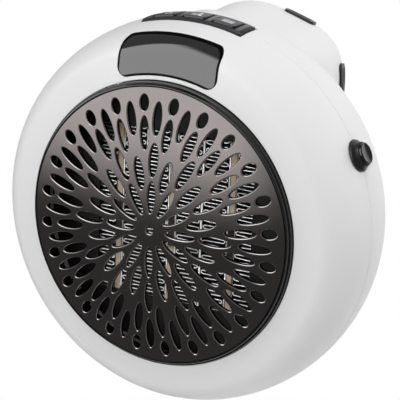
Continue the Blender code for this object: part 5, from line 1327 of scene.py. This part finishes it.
for side in (-1, 1):
    lay = Matrix.Translation(BOSS_CENTRE + Vector((0, collar_high + KEYWAY_BACK, side * BODY_R)))
    cutters.append(rounded_block("keyway", KEYWAY_SIZE, KEYWAY_CORNER, lay, axis=1))
    spot = (side * PIN_OUT, 0)
    cutters.append(rod("pin_bore", PIN_R + GAP, spot, plug_low - OVER, PLUG_FACE + OVER, BOSS_CENTRE))
carve(plug_body, "DIFFERENCE", cutters)
mount(plug_body, black_nylon, "plug_carrier", "plug")
for side, node in ((-1, "plug_pin_left"), (1, "plug_pin_right")):
    tail, tip = [corner.y - CENTRE.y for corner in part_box(node)]
    section = [(0.0, tail), (PIN_R, tail), (PIN_R, tip - PIN_R)]
    for angle in (15, 30, 45, 60, 75):
        t = math.radians(angle)
        section.append((PIN_R * math.cos(t), tip - PIN_R + PIN_R * math.sin(t)))
    place = BOSS_CENTRE + Vector((side * PIN_OUT, 0, 0))
    pin = as_object(node + "_turned", turned(section + [(0.0, tip)], 32, place, closed=False))
    mount(pin, nickel_plate, node, "plug")

# %% [markdown]
# ## Circuit board
#
# The boards are fibreglass under green solder mask. Copper tracks lie below the mask and lift it into
# paler lines, which a brick pattern draws, and the weave of the fibreglass shows as a faint relief.

# %% Fibreglass under solder mask
board, tree, place = new_material("fibreglass_under_solder_mask")
tracks = add(tree, "TexBrick", {
    "Vector": place, "Scale": 1 / (6 * MM), "Mortar Size": 0.06,
    "Color1": linear("#0f3d26"), "Color2": linear("#12482d"), "Mortar": linear("#2a6b43"),
})
weave = add(tree, "TexNoise", {"Vector": place, "Scale": 1 / (0.5 * MM), "Detail": 2.0})
relief = add(tree, "Bump", {"Height": weave, "Strength": 0.3, "Distance": 0.02 * MM})
wire(tree, tree.nodes["Principled BSDF"], {"Base Color": tracks, "Normal": relief, "Roughness": 0.35})
print("finish of the boards:", board.name)

# %% [markdown]
# ## Pieces that keep their CAD shape
#
# Inside the casing the shapes of the CAD model are right as they are, and only their surfaces change.
# The shroud and the heater's frame are heat-resistant nylon, the impeller and the cutout are plain nylon,
# the relay is blue PBT, the capacitor has a shrunk sleeve, and the screws are zinc plated. One table
# lists which finish goes to which pieces.

# %% The finish of each carried-over piece
natural_nylon = moulded("natural_nylon", "#ddd8cb", 0.40, 0.8 * MM, 0.02 * MM)
blue_pbt = moulded("blue_pbt", "#1d4b8f", 0.35, 0.6 * MM, 0.02 * MM)
shrink_sleeve = moulded("shrunk_pvc_sleeve", "#17181d", 0.25, 1.2 * MM, 0.02 * MM)
heat_nylon = moulded("heat_resistant_nylon", "#101011", 0.55, 0.8 * MM, 0.03 * MM, drift=0.25)
KEPT = {
    natural_nylon: ["thermal_cutout", "impeller"],
    blue_pbt: ["relay"],
    shrink_sleeve: ["capacitor"],
    heat_nylon: ["heater_frame", "fan_shroud", "side_switch_body"],
    satin_black_abs: ["display_module", "tact_switch_left", "tact_switch_middle", "tact_switch_right"],
    board: ["power_board", "button_board", "display_board"],
    zinc_plate: ["plug_retainer"] + [node for node in nodes if "screw" in node],
    brass_strip: ["plug_contact_left", "plug_contact_right"],
    drawn_steel: ["fan_motor", "motor_shaft"],
}
for finish, names in KEPT.items():
    for name in names:
        for slot in nodes[name].material_slots:
            slot.material = finish
print("CAD pieces with a finish of their own:", sum(len(names) for names in KEPT.values()))

# %% [markdown]
# ## Lamps
#
# Soft light comes from above, a small lamp near the camera reaches the fins through the slots, and two
# weak lamps fill the back and the left side. None of them shows in reflections.

# %% Four soft lamps
LAMPS = (
    ("key_light", CENTRE + Vector((0.05, -0.15, 1.1)), 0.9, 4.4),
    ("front_light", stand + Vector((0.0, -0.1, 0.1)), 0.2, 2.4),
    ("side_light", CENTRE + Vector((0.6, 0.75, 0.2)), 0.7, 4.2),
    ("fill_light", CENTRE + Vector((-0.8, -0.2, -0.1)), 0.5, 1.8),
)
for name, place, size, watts in LAMPS:
    data = bpy.data.lights.new(name, "AREA")
    data.size, data.energy = size, watts
    lamp = bpy.data.objects.new(name, data)
    lamp.location = place
    lamp.rotation_euler = (CENTRE - place).to_track_quat("-Z", "Y").to_euler()
    lamp.visible_glossy = False
    bpy.context.scene.collection.objects.link(lamp)
    print(name, size, "m across,", watts, "W")

# %% [markdown]
# ## Studio walls
#
# The black and metallised pieces show what they mirror: in the photograph that is a bright sheet in
# front, from eye level up, and a dark room round it. Curved walls glow like that. They are seen only in
# reflections, and they are stage, not part of the heater.

# %% The walls' glow
BRIGHT_AZIMUTHS, BRIGHT_ELEVATIONS = (-66, -56, -14, 4), (-17, 2, 56, 72)
BRIGHT_LEVEL, DARK_LEVEL = 3.6, 0.22


def band(tree, source, degrees):
    """1 between the two middle edges, and fading to 0 at the outer two."""
    edges = [math.radians(v) for v in degrees]
    rise = add(tree, "MapRange", {0: source, 1: edges[0], 2: edges[1]}, interpolation_type="SMOOTHSTEP")
    fall = add(tree, "MapRange", {0: source, 1: edges[3], 2: edges[2]}, interpolation_type="SMOOTHSTEP")
    return add(tree, "Math", {0: rise, 1: fall}, operation="MULTIPLY")


glow, tree, place = new_material("studio_walls")
tree.nodes.remove(tree.nodes["Principled BSDF"])
middle = add(tree, "VectorMath", {0: place, 1: tuple(CENTRE)}, operation="SUBTRACT")
parts = add(tree, "SeparateXYZ", {0: middle}).outputs
ahead = add(tree, "Math", {0: parts[1], 1: -1.0}, operation="MULTIPLY")
azimuth = add(tree, "Math", {0: parts[0], 1: ahead}, operation="ARCTAN2")
length = add(tree, "VectorMath", {0: middle}, operation="LENGTH").outputs["Value"]
rise = add(tree, "Math", {0: parts[2], 1: length}, operation="DIVIDE")
elevation = add(tree, "Math", {0: rise}, operation="ARCSINE")
across, up = band(tree, azimuth, BRIGHT_AZIMUTHS), band(tree, elevation, BRIGHT_ELEVATIONS)
bright = add(tree, "Math", {0: across, 1: up}, operation="MULTIPLY")
level = add(tree, "MapRange", {0: bright, 3: DARK_LEVEL, 4: BRIGHT_LEVEL})
light = add(tree, "Emission", {"Color": linear(WHITE), "Strength": level})
wire(tree, tree.nodes["Material Output"], {"Surface": light})
print("walls glow", DARK_LEVEL, "to", BRIGHT_LEVEL)

# %% [markdown]
# ## The walls' shape
#
# The walls are a piece of a sphere: half a meridian is spun part of the way round the upright axis, and
# the rest stays open behind the heater.

# %% Walls round the heater
WALL_AZIMUTHS, WALL_ELEVATIONS, WALL_DISTANCE = (-150, 150), (-80, 89), 1.6
UP_STEPS, ROUND_STEPS = 12, 24
work = bmesh.new()
start, sweep = math.radians(WALL_AZIMUTHS[0]), math.radians(WALL_AZIMUTHS[1] - WALL_AZIMUTHS[0])
low, high = WALL_ELEVATIONS
slopes = [math.radians(low + (high - low) * i / UP_STEPS) for i in range(UP_STEPS + 1)]
points = [work.verts.new(WALL_DISTANCE * facing(start, slope)) for slope in slopes]
edges = [work.edges.new(pair) for pair in zip(points, points[1:])]
bmesh.ops.spin(
    work, geom=points + edges, cent=(0, 0, 0), axis=(0, 0, 1), angle=sweep, steps=ROUND_STEPS
)
bmesh.ops.translate(work, verts=work.verts, vec=CENTRE)
walls = as_object("studio_walls", work)
walls.data.materials.append(glow)
for ray in ("camera", "diffuse", "transmission", "shadow"):
    setattr(walls, "visible_" + ray, False)
print("walls span azimuth", WALL_AZIMUTHS, "and elevation", WALL_ELEVATIONS)

# %% [markdown]
# ## Floor
#
# The floor is pale paper that lies well below the heater, which hangs from its plug. It thins out
# towards its rim, so no edge of it shows.

# %% Floor
FLOOR_R, FLOOR_DROP = 0.42, 0.30
FLOOR_CENTRE = Vector((0, CENTRE.y, CENTRE.z - FLOOR_DROP))
work = bmesh.new()
bmesh.ops.create_circle(
    work, cap_ends=True, segments=96, radius=FLOOR_R, matrix=Matrix.Translation(FLOOR_CENTRE)
)
floor = as_object("floor", work)
pale, tree, place = new_material("pale_paper")
fibre = add(tree, "TexNoise", {"Vector": place, "Scale": 1 / (4 * MM), "Detail": 2.0})
tone = add(tree, "Mix", {0: fibre, 6: linear("#f4f4f4"), 7: linear(WHITE)}, data_type="RGBA")
middle = add(tree, "VectorMath", {0: place, 1: tuple(FLOOR_CENTRE)}, operation="SUBTRACT")
reach = add(tree, "VectorMath", {0: middle}, operation="LENGTH").outputs["Value"]
span = {1: FLOOR_R / 3, 2: FLOOR_R, 3: 1.0, 4: 0.0}
thin = add(tree, "MapRange", {0: reach, **span}, interpolation_type="SMOOTHSTEP")
wire(tree, tree.nodes["Principled BSDF"], {"Base Color": tone.outputs[2], "Alpha": thin, "Roughness": 0.9})
floor.data.materials.append(pale)
floor.visible_glossy = False
print("floor", FLOOR_R * 2, "m across")
